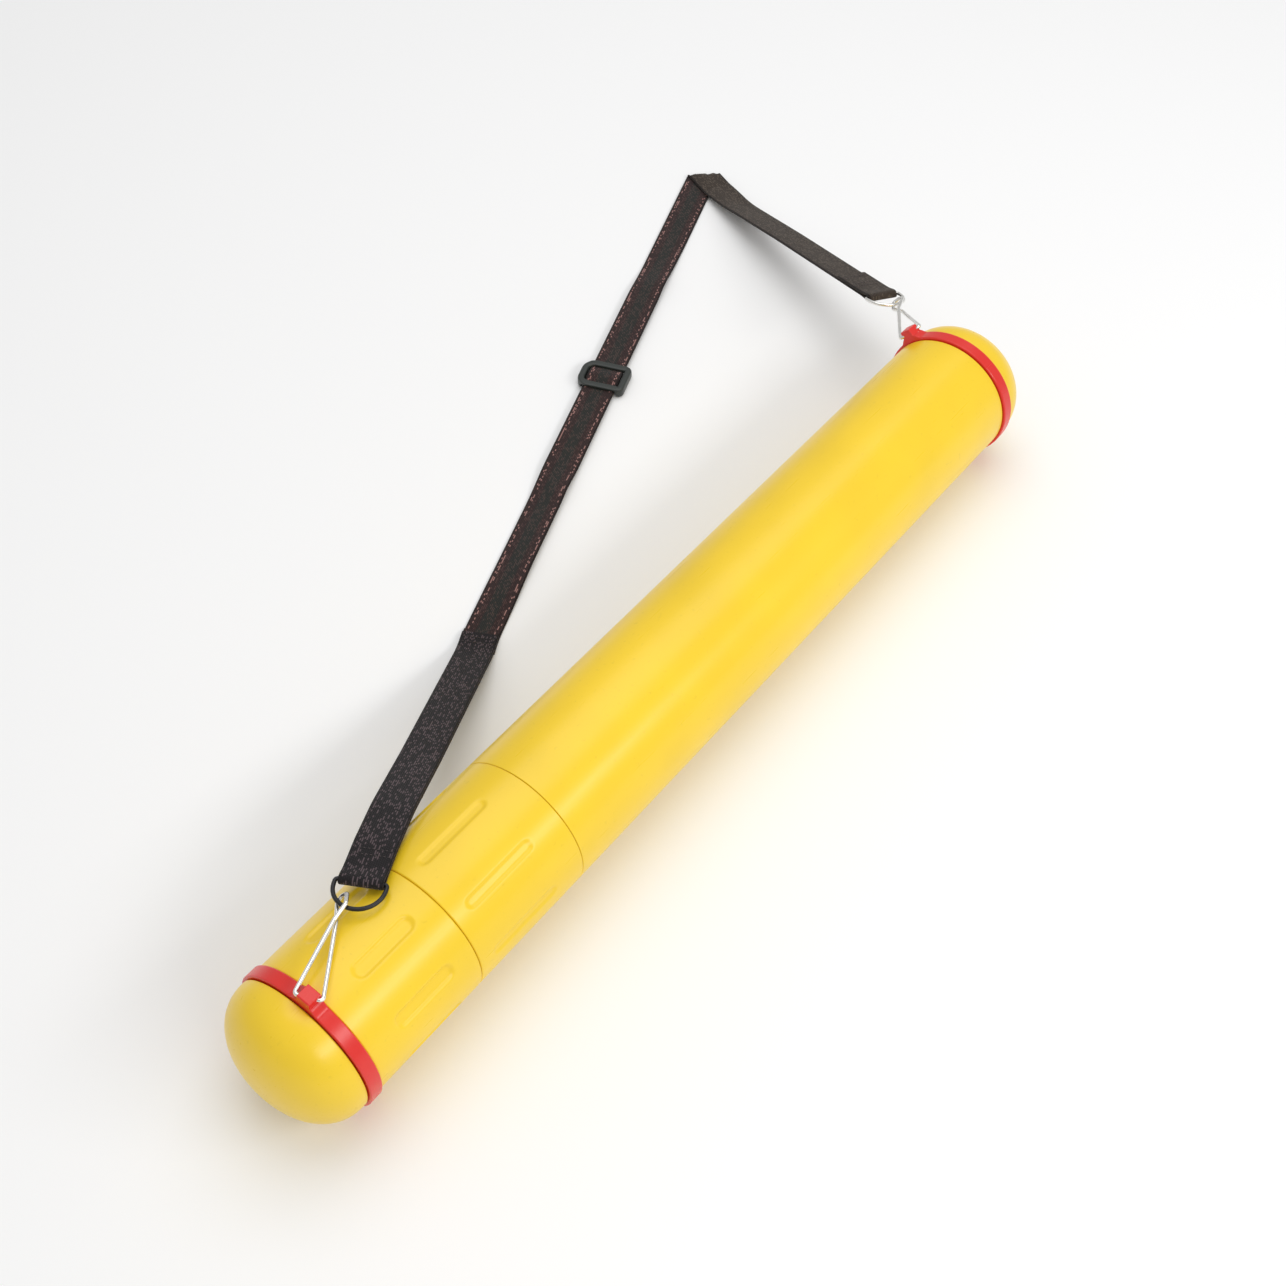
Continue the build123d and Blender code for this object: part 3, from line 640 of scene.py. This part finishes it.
class CARRY_OT_sleeves(bpy.types.Operator):
    """Grip sleeve and locking collar with their long ovals"""

    bl_idname = "carry.sleeves"
    bl_label = "Grip sleeve and collar"

    def execute(self, context):
        chosen = context.scene.carrying_tube
        yellow = bpy.data.materials["yellow_plastic"]
        turns = evenly(360)
        fine = 0.0010
        grip_start = NEAR_RING_HIGH[0] + PASSING_GAP
        inner_r = (box("inner_tube")[1][2] - box("inner_tube")[0][2]) / 2
        neck = TUBE_R - chosen.neck_step
        corners = ((GRIP_LOW[0], inner_r), (GRIP_LOW[0], neck), (grip_start, neck),
                   (grip_start, TUBE_R), (GRIP_HIGH[0], TUBE_R), (GRIP_HIGH[0], inner_r))
        outline = fillet(corners, (0.0002, 0.0004, 0.0003, 0.0006, 0.0008, 0.0002))
        dent = ovals(chosen.grip_oval, grip_start + chosen.grip_oval_from, chosen.grip_oval_turn,
                     chosen.oval_count, chosen.oval_flank)
        skin = turned(only_outside_fine(outline, fine), turns, dent)
        piece("grip_sleeve_shell", skin, yellow, "inner", ["grip_sleeve"])

        lip = 0.0015
        collar_bore = box("collar_seat")
        bore = (collar_bore[1][2] - collar_bore[0][2]) / 2
        bore = max(bore, TUBE_R - 0.003)
        corners = ((COLLAR_LOW[0], inner_r + PASSING_GAP), (COLLAR_LOW[0], TUBE_R),
                   (COLLAR_HIGH[0], TUBE_R), (COLLAR_HIGH[0], bore),
                   (COLLAR_LOW[0] + lip, bore), (COLLAR_LOW[0] + lip, inner_r + PASSING_GAP))
        outline = fillet(corners, (0.0002, 0.0008, 0.0004, 0.0002, 0.0002, 0.0002))
        dent = ovals(chosen.collar_oval, COLLAR_LOW[0] + chosen.collar_oval_from,
                     chosen.collar_oval_turn, chosen.oval_count, chosen.oval_flank)
        skin = turned(only_outside_fine(outline, fine), turns, dent)
        piece("lock_collar_shell", skin, yellow, "lock_collar", ["lock_collar"])
        return {"FINISHED"}


def only_outside_fine(outline, fine):
    """An outline with close points on the tube's outside and its own corners elsewhere."""
    dense = sampled(outline, fine)
    sparse = sampled(outline, 0.02)
    inside = sparse[sparse[:, 1] < TUBE_R - 1e-5]
    outside = dense[dense[:, 1] >= TUBE_R - 1e-5]
    outside = outside[np.argsort(outside[:, 0])]
    start = np.argmin(np.linalg.norm(inside - outside[-1], axis=1))
    return np.concatenate([outside, np.roll(inside, -start, 0)])


# ---- strap rings, clips and D rings --------------------------------------------------------------
def ring_with_lug(low, high, pivot, seat_r, chosen):
    """A ring whose outside rises to a lug: a foot that eases up to the shoulder, then a steep
    flank up to the crown. Sections are closer together at the lug."""
    middle = np.arctan2(pivot[1] - AXIS_Y, pivot[2] - AXIS_Z)
    near = np.linspace(-chosen.foot * 0.65, chosen.foot * 0.65, 261) / RING_R
    rest = np.linspace(near[-1], 2 * np.pi + near[0], 141)[1:-1]
    turns = np.concatenate([near, rest]) + middle
    corners = ((low[0], seat_r), (low[0], RING_R), (high[0], RING_R), (high[0], seat_r))
    outline = sampled(fillet(corners, (0.0002, 0.0008, 0.0008, 0.0002)), 0.0009, 0.0003)

    def dent(x, radius, turn):
        off = RING_R * np.abs(around(turn, middle))
        foot = ease((chosen.foot / 2 - off) / (chosen.foot / 2 - chosen.crown / 2))
        crown = ease((chosen.crown / 2 + 0.0004 - off) / 0.0011)
        rise = chosen.shoulder * foot ** 1.4 + (chosen.height - chosen.shoulder) * crown
        return -rise * np.clip((radius - seat_r) / (RING_R - 0.0008 - seat_r), 0, 1)

    return turned(outline, turns, dent)


def bow_point(fold, bar, bow, side, chosen):
    """The point of a D ring's bow at a distance to one side of its middle, and its way there."""
    half = d_half(chosen)
    along = np.sqrt(half ** 2 - side ** 2)
    point = fold + bar * side + bow * (chosen.ring_side + along)
    return point, unit(bar * along / half - bow * side / half)


def d_half(chosen):
    """Half the width of a D ring to its wire's middle line: the webbing has some play."""
    return bpy.context.scene.carrying_strap.width / 2 + D_PLAY + chosen.ring_wire / 2


def d_ring(fold, bar, bow, chosen):
    """A D ring's wire: a straight bar, two rounded corners, two short sides and a half circle."""
    half, corner = d_half(chosen), chosen.ring_corner
    quarter = np.linspace(0, np.pi / 2, 8)
    corner_x = half - corner + corner * np.sin(quarter)
    corner_y = corner - corner * np.cos(quarter)
    arch = np.linspace(0, np.pi, 48)
    flat_x = np.concatenate([corner_x, half * np.cos(arch), -corner_x[::-1]])
    flat_y = np.concatenate([corner_y, chosen.ring_side + half * np.sin(arch), corner_y[::-1]])
    outline = sampled(np.stack([flat_x, flat_y], -1), 0.002, 0.0004)
    path = fold + outline[:, :1] * bar + outline[:, 1:] * bow
    return wire(path, chosen.ring_wire / 2, np.cross(bar, bow), closed=True)


def clip(pivot, hold, bow_way, leg, chosen):
    """A clip's wire: two pins in the lug, two legs that cross and a loop round the D ring, as
    corners rounded by arcs. Lengths are along the clip, sideways and upwards from it."""
    ahead, reach = unit(hold - pivot), np.linalg.norm(hold - pivot)
    out = unit((0, pivot[1] - AXIS_Y, pivot[2] - AXIS_Z))
    hinge = unit(np.cross(out, ahead))
    third = np.cross(ahead, hinge)
    square = unit(bow_way - ahead * bow_way.dot(ahead))
    side, past, twist, pin = chosen.loop_side, chosen.loop_reach, CLIP_TWIST, PIN_END
    slant = side * bow_way.dot(ahead) / bow_way.dot(square)
    crossing = reach - chosen.crossing
    legs = np.array([
        (0, pin, 0), (0, leg, 0), (crossing, twist, side / 2),
        (crossing, -twist, -side / 2), (0, -leg, 0), (0, -pin, 0),
    ])
    loop = np.array([
        (LOOP_STRAIGHT - slant, -side, side), (past, -side / 2, side / 2),
        (past, side / 2, -side / 2), (LOOP_STRAIGHT + slant, side, -side),
    ])
    legs = pivot + legs @ np.stack([ahead, hinge, third])
    loop = hold + loop @ np.stack([ahead, square, np.cross(ahead, square)])
    corners = np.concatenate([legs[:3], loop, legs[3:]])
    path = sampled(fillet(corners, CLIP_BENDS, 10, closed=False), 0.003, 0.0005, closed=False)
    return wire(path, chosen.clip_wire / 2, third)


class CARRY_OT_rings(bpy.types.Operator):
    """The two strap rings with their lugs"""

    bl_idname = "carry.rings"
    bl_label = "Strap rings"

    def execute(self, context):
        chosen = context.scene.carrying_rings
        red = moulded("red_plastic", chosen.plastic, 0.27, marks=0.01, IOR=1.5)
        neck = TUBE_R - context.scene.carrying_tube.neck_step
        shade_gap = np.array((0.0003, 0, 0))
        ends = (
            ("near", NEAR_RING_LOW, NEAR_RING_HIGH, NEAR_PIVOT, 0.0001),
            ("far", FAR_RING_LOW, FAR_RING_HIGH, FAR_PIVOT, 0.0003),
        )
        for end, low, high, pivot, clear in ends:
            skin = ring_with_lug(low + shade_gap, high, pivot, neck + clear, chosen)
            piece(f"{end}_ring_moulding", skin, red, f"{end}_ring",
                  [f"{end}_strap_ring"])
        return {"FINISHED"}


def bows(near_bar, far_fold, far_bar, rise):
    """The way from each D ring's bar to its bow: the near one rises a little towards its clip, the
    far one points at its lug, square to its bar."""
    to_pivot = FAR_PIVOT - far_fold
    near_bow = unit(UP * rise - np.cross(near_bar, UP))
    return near_bow, unit(to_pivot - far_bar * to_pivot.dot(far_bar))


class CARRY_OT_wires(bpy.types.Operator):
    """The wire clips and the D rings"""

    bl_idname = "carry.wires"
    bl_label = "Clips and D rings"

    def execute(self, context):
        chosen = context.scene.carrying_rings
        bright = plated("bright_wire", (0.86, 0.85, 0.82), 0.2)
        # near-black copy of the plated wire: painted dark reflection, used for the near D ring
        painted_dark_reflection_wire = plated("wire_painted_dark_reflection", (0.02, 0.02, 0.022), 0.3, 0.4)
        near_fold, _, _, far_fold = strap_places()
        near_bar, far_bar = bars()
        near_bow, far_bow = bows(near_bar, far_fold, far_bar, chosen.ring_rise)
        near_hold, near_way = bow_point(near_fold, near_bar, near_bow, chosen.near_hold, chosen)
        far_hold, far_way = bow_point(far_fold, far_bar, far_bow, chosen.far_hold, chosen)
        skin = clip(NEAR_PIVOT, near_hold, near_way, chosen.near_leg, chosen)
        piece("near_clip_wire", skin, bright, "near_clip", ["near_clip"])
        skin = clip(FAR_PIVOT, far_hold, far_way, chosen.far_leg, chosen)
        piece("far_clip_wire", skin, bright, "far_clip", ["far_clip"])
        skin = d_ring(near_fold, near_bar, near_bow, chosen)
        # the near D ring is plated wire drawn near black as a painted dark reflection
        piece("near_d_ring_wire", skin, painted_dark_reflection_wire, "near_d_ring", ["near_d_ring"])
        skin = d_ring(far_fold, far_bar, far_bow, chosen)
        piece("far_d_ring_wire", skin, bright, "far_d_ring", ["far_d_ring"])
        return {"FINISHED"}


# ---- webbing -------------------------------------------------------------------------------------
def smooth_line(corners, radii, spacing):
    """A line of (distance, height) with its corners rounded and even points."""
    return sampled(fillet(corners, radii, 8, closed=False), spacing, 0.0005, closed=False)


def hairpin(line, upper_end, turn_r, apart):
    """Two layers of one strap that turns back round a bar at the line's start, as (distance,
    height) and the outward direction. The upper layer starts upper_end from the bar, both layers
    lie apart from the line, and close to the bar they spread to the radius of the turn."""
    slope = unit(np.gradient(line, axis=0))
    out = np.stack([-slope[:, 1], slope[:, 0]], -1)
    off = apart + (turn_r - apart) * np.exp(-(line[:, :1] / 0.0045) ** 2)
    upper = line[:, 0] <= upper_end
    swing = np.linspace(0, np.pi, 13)[1:-1, None]
    start_out, start_way = out[0], slope[0]
    bend_out = np.cos(swing) * start_out - np.sin(swing) * start_way
    bend = line[0] + turn_r * bend_out
    path = np.concatenate([(line + out * off)[upper][::-1], bend, line - out * off])
    outward = np.concatenate([out[upper][::-1], bend_out, -out])
    return path, outward


def band(path, outward, across, run, width, thickness):
    """A flat band: at each point of its path a flat oval section, set by its outward and across
    directions. Returns rings, the strap's own coordinates (run, across) and the side it faces."""
    half, radius = width / 2, thickness / 2
    flat = np.linspace(-(half - radius), half - radius, 15)
    curve = np.linspace(np.pi / 2, -np.pi / 2, 6)[1:-1]
    section_x = np.concatenate([flat, half - radius + radius * np.cos(curve),
                                flat[::-1], -(half - radius) - radius * np.cos(curve)])
    section_y = np.concatenate([np.full(15, radius), radius * np.sin(curve),
                                np.full(15, -radius), -radius * np.sin(curve)])
    rings = (path[:, None] + across[:, None] * section_x[None, :, None]
             + outward[:, None] * section_y[None, :, None])
    length = np.broadcast_to(run[:, None], rings.shape[:2])
    offset = np.broadcast_to(section_x[None, :], rings.shape[:2])
    facing = np.broadcast_to((section_y > 0)[None, :], rings.shape[:2])
    return rings, np.stack([length, offset], -1), facing


def webbing_piece(name, bands, outward_is_face, material, rides, stands_for=()):
    """One piece of webbing from one or more stretches of band, with its coordinates and sides."""
    skins = [lofted(rings) for rings, _, _ in bands]
    made = piece(name, joined(*skins), material, rides, stands_for)
    coordinates, sides = [], []
    for rings, place_on, facing in bands:
        ends = place_on[[0, -1]].mean(1)
        coordinates += [place_on.reshape(-1, 2), ends]
        sides += [facing.ravel(), np.array((True, True))]
    coordinates, sides = np.concatenate(coordinates), np.concatenate(sides)
    sides = sides if outward_is_face else ~sides
    layer = made.data.uv_layers.new(name="strap")
    corner_points = np.empty(len(made.data.loops), int)
    made.data.loops.foreach_get("vertex_index", corner_points)
    layer.data.foreach_set("uv", coordinates[corner_points].astype(np.float32).ravel())
    attribute = made.data.attributes.new("face_side", "FLOAT", "POINT")
    attribute.data.foreach_set("value", sides.astype(np.float32))
    return made


def lengths_along(path):
    """The length from a path's start to each of its points."""
    return np.concatenate([[0], np.cumsum(np.linalg.norm(np.diff(path, axis=0), axis=1))])


def part_of(from_bar, start, stop):
    """Which rings lie between two distances from the bar. Neighbouring parts share one ring."""
    keep = (from_bar > start) & (from_bar <= stop) | (from_bar <= stop) & (start == 0)
    shared = np.abs(np.diff(keep.astype(int))) > 0
    low_side = np.concatenate([shared, [False]]) | np.concatenate([[False], shared])
    return keep | low_side & (from_bar <= start)


def cut(stretch, keep):
    """The parts of a band whose rings keep says to take, as one or more whole stretches."""
    marks = np.flatnonzero(np.diff(np.concatenate([[False], keep, [False]]).astype(int)))
    return [tuple(part[start:stop] for part in stretch)
            for start, stop in zip(marks[::2], marks[1::2])]


def seams(path, outward, across, from_bar, distances, chosen):
    """Rows of stitches over the upper layer: each stitch is a small arch of thread that rises by
    one less its share of the way squared, and narrows to its ends in the same way."""
    upper = np.arange(len(path)) <= np.argmin(from_bar)
    spots = np.linspace(-0.40, 0.40, 9) * chosen.width
    share = np.linspace(-0.98, 0.98, 7)
    turn = evenly(8)
    skins = []
    for distance in distances:
        row = np.argmin(np.where(upper, np.abs(from_bar - distance), np.inf))
        out, side = outward[row], across[row]
        ahead = np.cross(out, side)
        line = share * chosen.width * 0.034
        swell = 1 - share ** 2
        for spot in spots:
            middle = path[row] + side * spot + out * (chosen.thickness / 2 - 0.00006)
            thread = middle + line[:, None] * side + (0.00028 * swell)[:, None] * out
            radius = 0.00024 * np.sqrt(swell)[:, None, None]
            circle = np.cos(turn)[:, None] * ahead + np.sin(turn)[:, None] * out
            skins.append(lofted(thread[:, None] + radius * circle))
    return joined(*skins)


def sewn_end(end, body, last_node, lie, from_bar, fold, way, reach, out_is_face, material, rows,
             thread):
    """The webbing from a D ring's bar to the body that it ends on, in three parts. Each part
    carries the rows of stitches that lie on it; the bodies and points it lies between are worked
    out but not used, so each part is left in place unattached."""
    chosen = bpy.context.scene.carrying_strap
    bodies = (f"{end}_d_ring", f"{end}_clip", f"{end}_ring", body)
    nodes = ([f"{end}_strap_end"], [], [last_node])
    stretch = band(*lie, lengths_along(lie[0]), chosen.width, chosen.thickness)
    for number, (start, stop) in enumerate(zip(PART_ENDS, PART_ENDS[1:])):
        far_point = fold + way * min(stop, reach)
        near_point = fold + way * (start or SEWN_LEAD)
        rides = (bodies[number + 1], bodies[number], tuple(far_point), tuple(near_point))
        webbing_piece(f"webbing_{end}_{number + 1}", cut(stretch, part_of(from_bar, start, stop)),
                      out_is_face, material, rides, nodes[number])
        here = [at for at in rows if start < at <= stop]
        if here:
            made = seams(*lie, from_bar, here, chosen)
            piece(f"stitches_{end}_{number + 1}", made, thread, rides)


class CARRY_OT_strap(bpy.types.Operator):
    """The webbing strap, its folds and its seams"""

    bl_idname = "carry.strap"
    bl_label = "Webbing strap"

    def execute(self, context):
        chosen = context.scene.carrying_strap
        rings = context.scene.carrying_rings
        near_fold, landing, peak, far_fold = strap_places()
        thickness = chosen.thickness
        turn_r = rings.ring_wire / 2 + WIRE_CLEAR + thickness / 2
        apart = thickness / 2 + WIRE_CLEAR
        near_way, back_way = level(near_fold, landing), level(far_fold, peak)
        near_bar, _ = bars()

        # doubled webbing: over the tube's shoulder and down to the floor
        span = np.linalg.norm((landing - near_fold)[:2])
        doubled = 2 * thickness + LAYER_GAP
        shoulder = [(along, near_fold[2] - down) for along, down in DOUBLED_BENDS]
        line = smooth_line(
            [(0, near_fold[2]), *shoulder, (span - 0.0135, doubled), (span + 0.004, doubled / 2)],
            (0, 0.06, 0.08, 0.16, 0.05, 0), 0.002)
        path, outward = hairpin(line, span + 0.002, turn_r, apart)
        solid = near_fold * (1, 1, 0) + path[:, :1] * near_way + path[:, 1:] * UP
        outward = outward[:, :1] * near_way + outward[:, 1:] * UP
        across = np.broadcast_to(near_bar, solid.shape)
        reverse_lit = woven("webbing_doubled", FACE_TONES, REVERSE_TONES)
        thread = moulded("thread", (0.060, 0.046, 0.046), 0.6, marks=0.02)
        rows = (*BAR_ROWS, span - 0.008, span - 0.004)
        sewn_end("near", "inner", "strap_doubled", (solid, outward, across), path[:, 0], near_fold,
                 near_way, 0.12, False, reverse_lit, rows, thread)

        # long run: along the floor, then folded flat over itself at the peak
        long_span = np.linalg.norm(peak - landing)
        crease_way = unit(LONG_WAY - level(far_fold, peak))
        crease_out = unit(np.cross(UP, crease_way))
        if crease_out.dot(LONG_WAY) < 0:
            crease_out = -crease_out
        corners = np.array([
            landing - near_way * LANDING_LEAD, landing, peak, peak + LONG_WAY * AFTER_PEAK])
        plan = sampled(fillet(corners[:, :2], (0, 0.12, 0.0001, 0), 8, closed=False), 0.0025,
                       0.0005, closed=False)
        plan_way = unit(np.gradient(plan, axis=0))
        run = lengths_along(plan)
        past_slider = np.abs((plan - SLIDER_MIDDLE[:2]) @ LONG_WAY[:2]) - FLAT_REACH
        height = thickness / 2 + WEB_LIFT * ease((LIFT_RAMP - past_slider) / LIFT_RAMP)
        lean = ROLL * ease((run - 0.02) / 0.06) * ease((long_span - 0.06 - run) / 0.08)
        lean = lean * ease(past_slider / ROLL_RAMP)
        side = np.stack([-plan_way[:, 1], plan_way[:, 0], np.zeros(len(plan))], -1)
        across = side * np.cos(lean)[:, None] - UP * np.sin(lean)[:, None]
        outward = side * np.sin(lean)[:, None] + UP * np.cos(lean)[:, None]
        height = height + np.sin(lean) * chosen.width / 2
        centre = np.concatenate([plan, height[:, None]], 1)
        rings_flat, place_on, facing = band(centre, outward, across, run, chosen.width, thickness)
        folded = fold_over(rings_flat, peak, crease_out[:2], thickness)
        face_lit = woven("webbing_single", FACE_TONES, BACK_TONES)
        webbing_piece("webbing_long", [(folded, place_on, facing)], True, face_lit,
                      ("inner", "outer", tuple(landing + LONG_WAY * 0.005),
                       tuple(landing + LONG_WAY * 0.11)), ["strap_long_run"])

        # back run: from the peak up to the far D ring, leaning more and more, with a sewn lap
        span = np.linalg.norm((peak - far_fold)[:2])
        top = thickness * 1.5 + 0.0006 + apart
        line = smooth_line(
            [(0, far_fold[2]), (span * 0.48, far_fold[2] * 0.49),
             (span - 0.050, 0.0080), (span - AFTER_PEAK, top)],
            (0, 0.4, 0.12, 0), 0.002)
        path, outward = hairpin(line, chosen.far_lap, turn_r, apart)
        lean = chosen.far_lean * ease((span - AFTER_PEAK - path[:, 0]) / 0.045)[:, None]
        level_side = np.cross(UP, back_way)
        solid = far_fold * (1, 1, 0) + path[:, :1] * back_way + path[:, 1:] * UP
        across = level_side * np.cos(lean) + UP * np.sin(lean)
        out = outward[:, :1] * back_way + outward[:, 1:] * UP
        out = unit(out - across * (out * across).sum(1, keepdims=True))
        back_lit = woven("webbing_back", BACK_TONES, BACK_TONES)
        rows = (*BAR_ROWS, chosen.far_lap - 0.003, chosen.far_lap - 0.006)
        sewn_end("far", "outer", "strap_back_run", (solid, out, across), path[:, 0], far_fold,
                 back_way, 0.15, True, back_lit, rows, thread)
        return {"FINISHED"}


def fold_over(rings, crease, way, thickness):
    """A flat strap bent back over a straight crease: points beyond it go half round a small
    radius, then lie back over the strap, mirrored in the crease and one layer higher."""
    radius = thickness / 2 + 0.0003
    beyond = (rings[..., :2] - crease[:2]) @ way + np.pi * radius / 2
    height = rings[..., 2]
    half_turn = np.pi * radius
    swing = np.clip(beyond / radius, 0, np.pi)
    middle = thickness / 2
    arm = radius - (height - middle)
    flat = np.where(beyond < 0, beyond, 0) + arm * np.sin(swing)
    flat = np.where(beyond > half_turn, half_turn - beyond, flat)
    moved = rings.copy()
    moved[..., :2] += (flat - beyond)[..., None] * way
    moved[..., 2] = middle + radius - arm * np.cos(swing)
    return moved


# ---- slider --------------------------------------------------------------------------------------
class CARRY_OT_slider(bpy.types.Operator):
    """The slider and the webbing that humps inside it"""

    bl_idname = "carry.slider"
    bl_label = "Slider"

    def execute(self, context):
        chosen = context.scene.carrying_strap
        low, high = box("strap_slider")
        ahead, side = LONG_WAY, np.cross(UP, LONG_WAY)
        length, width, bar = SLIDER_LENGTH, SLIDER_WIDTH, chosen.slider_bar
        middle = SLIDER_MIDDLE * (1, 1, 0)
        tone = moulded("slider_plastic", chosen.slider_plastic, 0.42, 0.0001, IOR=1.5)
        outline = fillet(
            [(length / 2 - bar / 2, -(width - bar) / 2), (length / 2 - bar / 2, (width - bar) / 2),
             (-(length - bar) / 2, (width - bar) / 2), (-(length - bar) / 2, -(width - bar) / 2)],
            (0.002, 0.0065, 0.0065, 0.002), 10)
        outline = sampled(outline, 0.0008, 0.0003)
        rail = ease((np.abs(outline[:, 1]) - (width / 2 - bar * 1.25)) / 0.0022)
        top = high[2]
        bottom = (top - BAR_HEIGHT) * (1 - rail) + low[2] * rail
        way = unit(np.roll(outline, -1, 0) - np.roll(outline, 1, 0))
        out = np.stack([way[:, 1], -way[:, 0]], -1)
        turn = evenly(24)
        power = 0.5
        round_x = np.sign(np.cos(turn)) * np.abs(np.cos(turn)) ** power
        round_z = np.sign(np.sin(turn)) * np.abs(np.sin(turn)) ** power
        half_height = (top - bottom)[:, None] / 2
        reach = bar / 2 * round_x[None, :]
        flat = outline[:, None] + out[:, None] * reach[..., None]
        z = ((top + bottom) / 2)[:, None] + half_height * round_z[None, :]
        rings = (middle + flat[..., :1] * ahead + flat[..., 1:] * side + z[..., None] * UP)
        frame_skin = lofted(rings, wrap=True)
        share = np.linspace(-1, 1, 25)
        bar_path = middle + side * share[:, None] * (width / 2 - bar * 0.7) + UP * (low[2] + 0.0011)
        bar_x, bar_z = 0.0019 * round_x, 0.0011 * round_z
        rings = (bar_path[:, None] + ahead * bar_x[None, :, None] + UP * bar_z[None, :, None])
        skin = joined(frame_skin, lofted(rings))
        piece("slider_moulding", skin, tone, "slider", ["strap_slider"])

        # webbing pushed up between the slider's bars
        thickness = chosen.thickness
        base = low[2] + BAR_HEIGHT + BAR_CLEAR + thickness / 2
        reach = length / 2 - bar + 0.0012
        along = np.linspace(-reach, reach, 25)
        rise = 0.0019 * np.cos(along / reach * np.pi / 2) ** 1.2 + 0.0001
        path = middle + along[:, None] * ahead + (base + rise)[:, None] * UP
        slope = unit(np.gradient(path, axis=0))
        across = np.broadcast_to(side, path.shape)
        outward = np.cross(slope, across)
        face_lit = bpy.data.materials["webbing_single"]
        run = lengths_along(path)
        webbing_piece("webbing_hump", [band(path, outward, across, run, chosen.width, thickness)],
                      True, face_lit, "slider")
        return {"FINISHED"}


# ---- inner pieces kept from the frame ------------------------------------------------------------
class CARRY_OT_inner(bpy.types.Operator):
    """Finishes for the inner pieces that keep the frame's own shape"""

    bl_idname = "carry.inner"
    bl_label = "Inner pieces"

    def execute(self, context):
        dark = moulded("inner_plastic", (0.10, 0.10, 0.105), 0.45, IOR=1.5)
        rubber = moulded("seal_rubber", (0.028, 0.028, 0.03), 0.6, 0.0001, IOR=1.5)
        finishes = {"collar_seat": dark, "brake_ring": dark, "guide_ring": dark, "cap_seal": rubber}
        for name, finish in finishes.items():
            mesh = frame["nodes"][name].data
            mesh.materials.clear()
            mesh.materials.append(finish)
        return {"FINISHED"}


# ---- stage ---------------------------------------------------------------------------------------
def area_light(name, size_x, size_y, power, at, towards):
    """A soft rectangular light at a place, facing another. Its first size lies level."""
    data = bpy.data.lights.new(name, "AREA")
    data.shape = "RECTANGLE"
    data.size, data.size_y, data.energy = size_x, size_y, power
    light = bpy.data.objects.new(name, data)
    light.location = at
    light.rotation_euler = Vector(np.array(at) - towards).to_track_quat("Z", "Y").to_euler()
    bpy.context.scene.collection.objects.link(light)


class CARRY_OT_stage(bpy.types.Operator):
    """Floor, lights and camera"""

    bl_idname = "carry.stage"
    bl_label = "Stage"

    def execute(self, context):
        chosen = context.scene.carrying_stage
        scene = context.scene
        middle = np.array(((TUBE_LOW[0] + TUBE_HIGH[0]) / 2, AXIS_Y, 0))
        tube_middle = (box("near_dome")[0][0] + box("far_dome")[1][0]) / 2
        foot = np.array((tube_middle, AXIS_Y, 0))

        data = bpy.data.cameras.new("camera")
        data.lens = chosen.lens
        camera = bpy.data.objects.new("camera", data)
        camera.location = foot + np.array(chosen.stand)
        camera.rotation_euler = (np.pi / 2 - chosen.dip, 0, chosen.heading - np.pi / 2)
        scene.collection.objects.link(camera)
        scene.camera = camera

        reach, columns = 9.0, 65
        floor = bpy.data.meshes.new("floor")
        grid = np.linspace(-reach, reach, columns)
        x, y = np.meshgrid(grid, grid, indexing="ij")
        points = np.stack([x, y, np.zeros_like(x)], -1).reshape(-1, 3)
        start = (np.arange(columns - 1)[:, None] * columns + np.arange(columns - 1)).reshape(-1, 1)
        quads = start + np.array((0, columns, columns + 1, 1))
        floor.from_pydata(points.tolist(), [], quads.tolist())
        material, _, main = shader("floor_paper", Roughness=0.9)
        main.inputs["Base Color"].default_value = (0.93, 0.93, 0.93, 1)
        floor.materials.append(material)
        ground = bpy.data.objects.new("floor", floor)
        scene.collection.objects.link(ground)

        world = bpy.data.worlds.new("studio")
        world.use_nodes = True
        world.node_tree.nodes["Background"].inputs["Color"].default_value = (1, 1, 1, 1)
        world.node_tree.nodes["Background"].inputs["Strength"].default_value = 0.56
        scene.world = world
        scene.view_settings.view_transform = "Standard"
        area_light("side_softbox", 1.6, 0.32, 9, (middle[0] - 0.1, middle[1] - 1.15, 0.95), middle)
        area_light("top_softbox", 1.8, 1.8, 15, (middle[0] + 0.45, middle[1] + 0.3, 1.9), middle)
        return {"FINISHED"}


# ---- panel, registration and making --------------------------------------------------------------
OPERATORS = (
    CARRY_OT_stage, CARRY_OT_tube, CARRY_OT_sleeves, CARRY_OT_rings, CARRY_OT_wires,
    CARRY_OT_strap, CARRY_OT_slider, CARRY_OT_inner,
)


class CARRY_PT_panel(bpy.types.Panel):
    """The steps and the settings of the carrying tube"""

    bl_label = "Carrying tube"
    bl_space_type = "VIEW_3D"
    bl_region_type = "UI"
    bl_category = "Carrying tube"

    def draw(self, context):
        for operator in OPERATORS:
            self.layout.operator(operator.bl_idname)
        for name, group in SETTINGS.items():
            box_layout = self.layout.box()
            for setting in group.__annotations__:
                box_layout.prop(getattr(context.scene, name), setting)


CLASSES = (*SETTINGS.values(), *OPERATORS, CARRY_PT_panel)


def register():
    for made in CLASSES:
        bpy.utils.register_class(made)
    for name, group in SETTINGS.items():
        setattr(bpy.types.Scene, name, PointerProperty(type=group))


def unregister():
    for name in SETTINGS:
        delattr(bpy.types.Scene, name)
    for made in reversed(CLASSES):
        bpy.utils.unregister_class(made)


def main():
    register()
    for step in (
        bpy.ops.carry.stage, bpy.ops.carry.tube, bpy.ops.carry.sleeves, bpy.ops.carry.rings,
        bpy.ops.carry.wires, bpy.ops.carry.strap, bpy.ops.carry.slider, bpy.ops.carry.inner,
    ):
        step()
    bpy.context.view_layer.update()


if __name__ == "__main__":
    main()
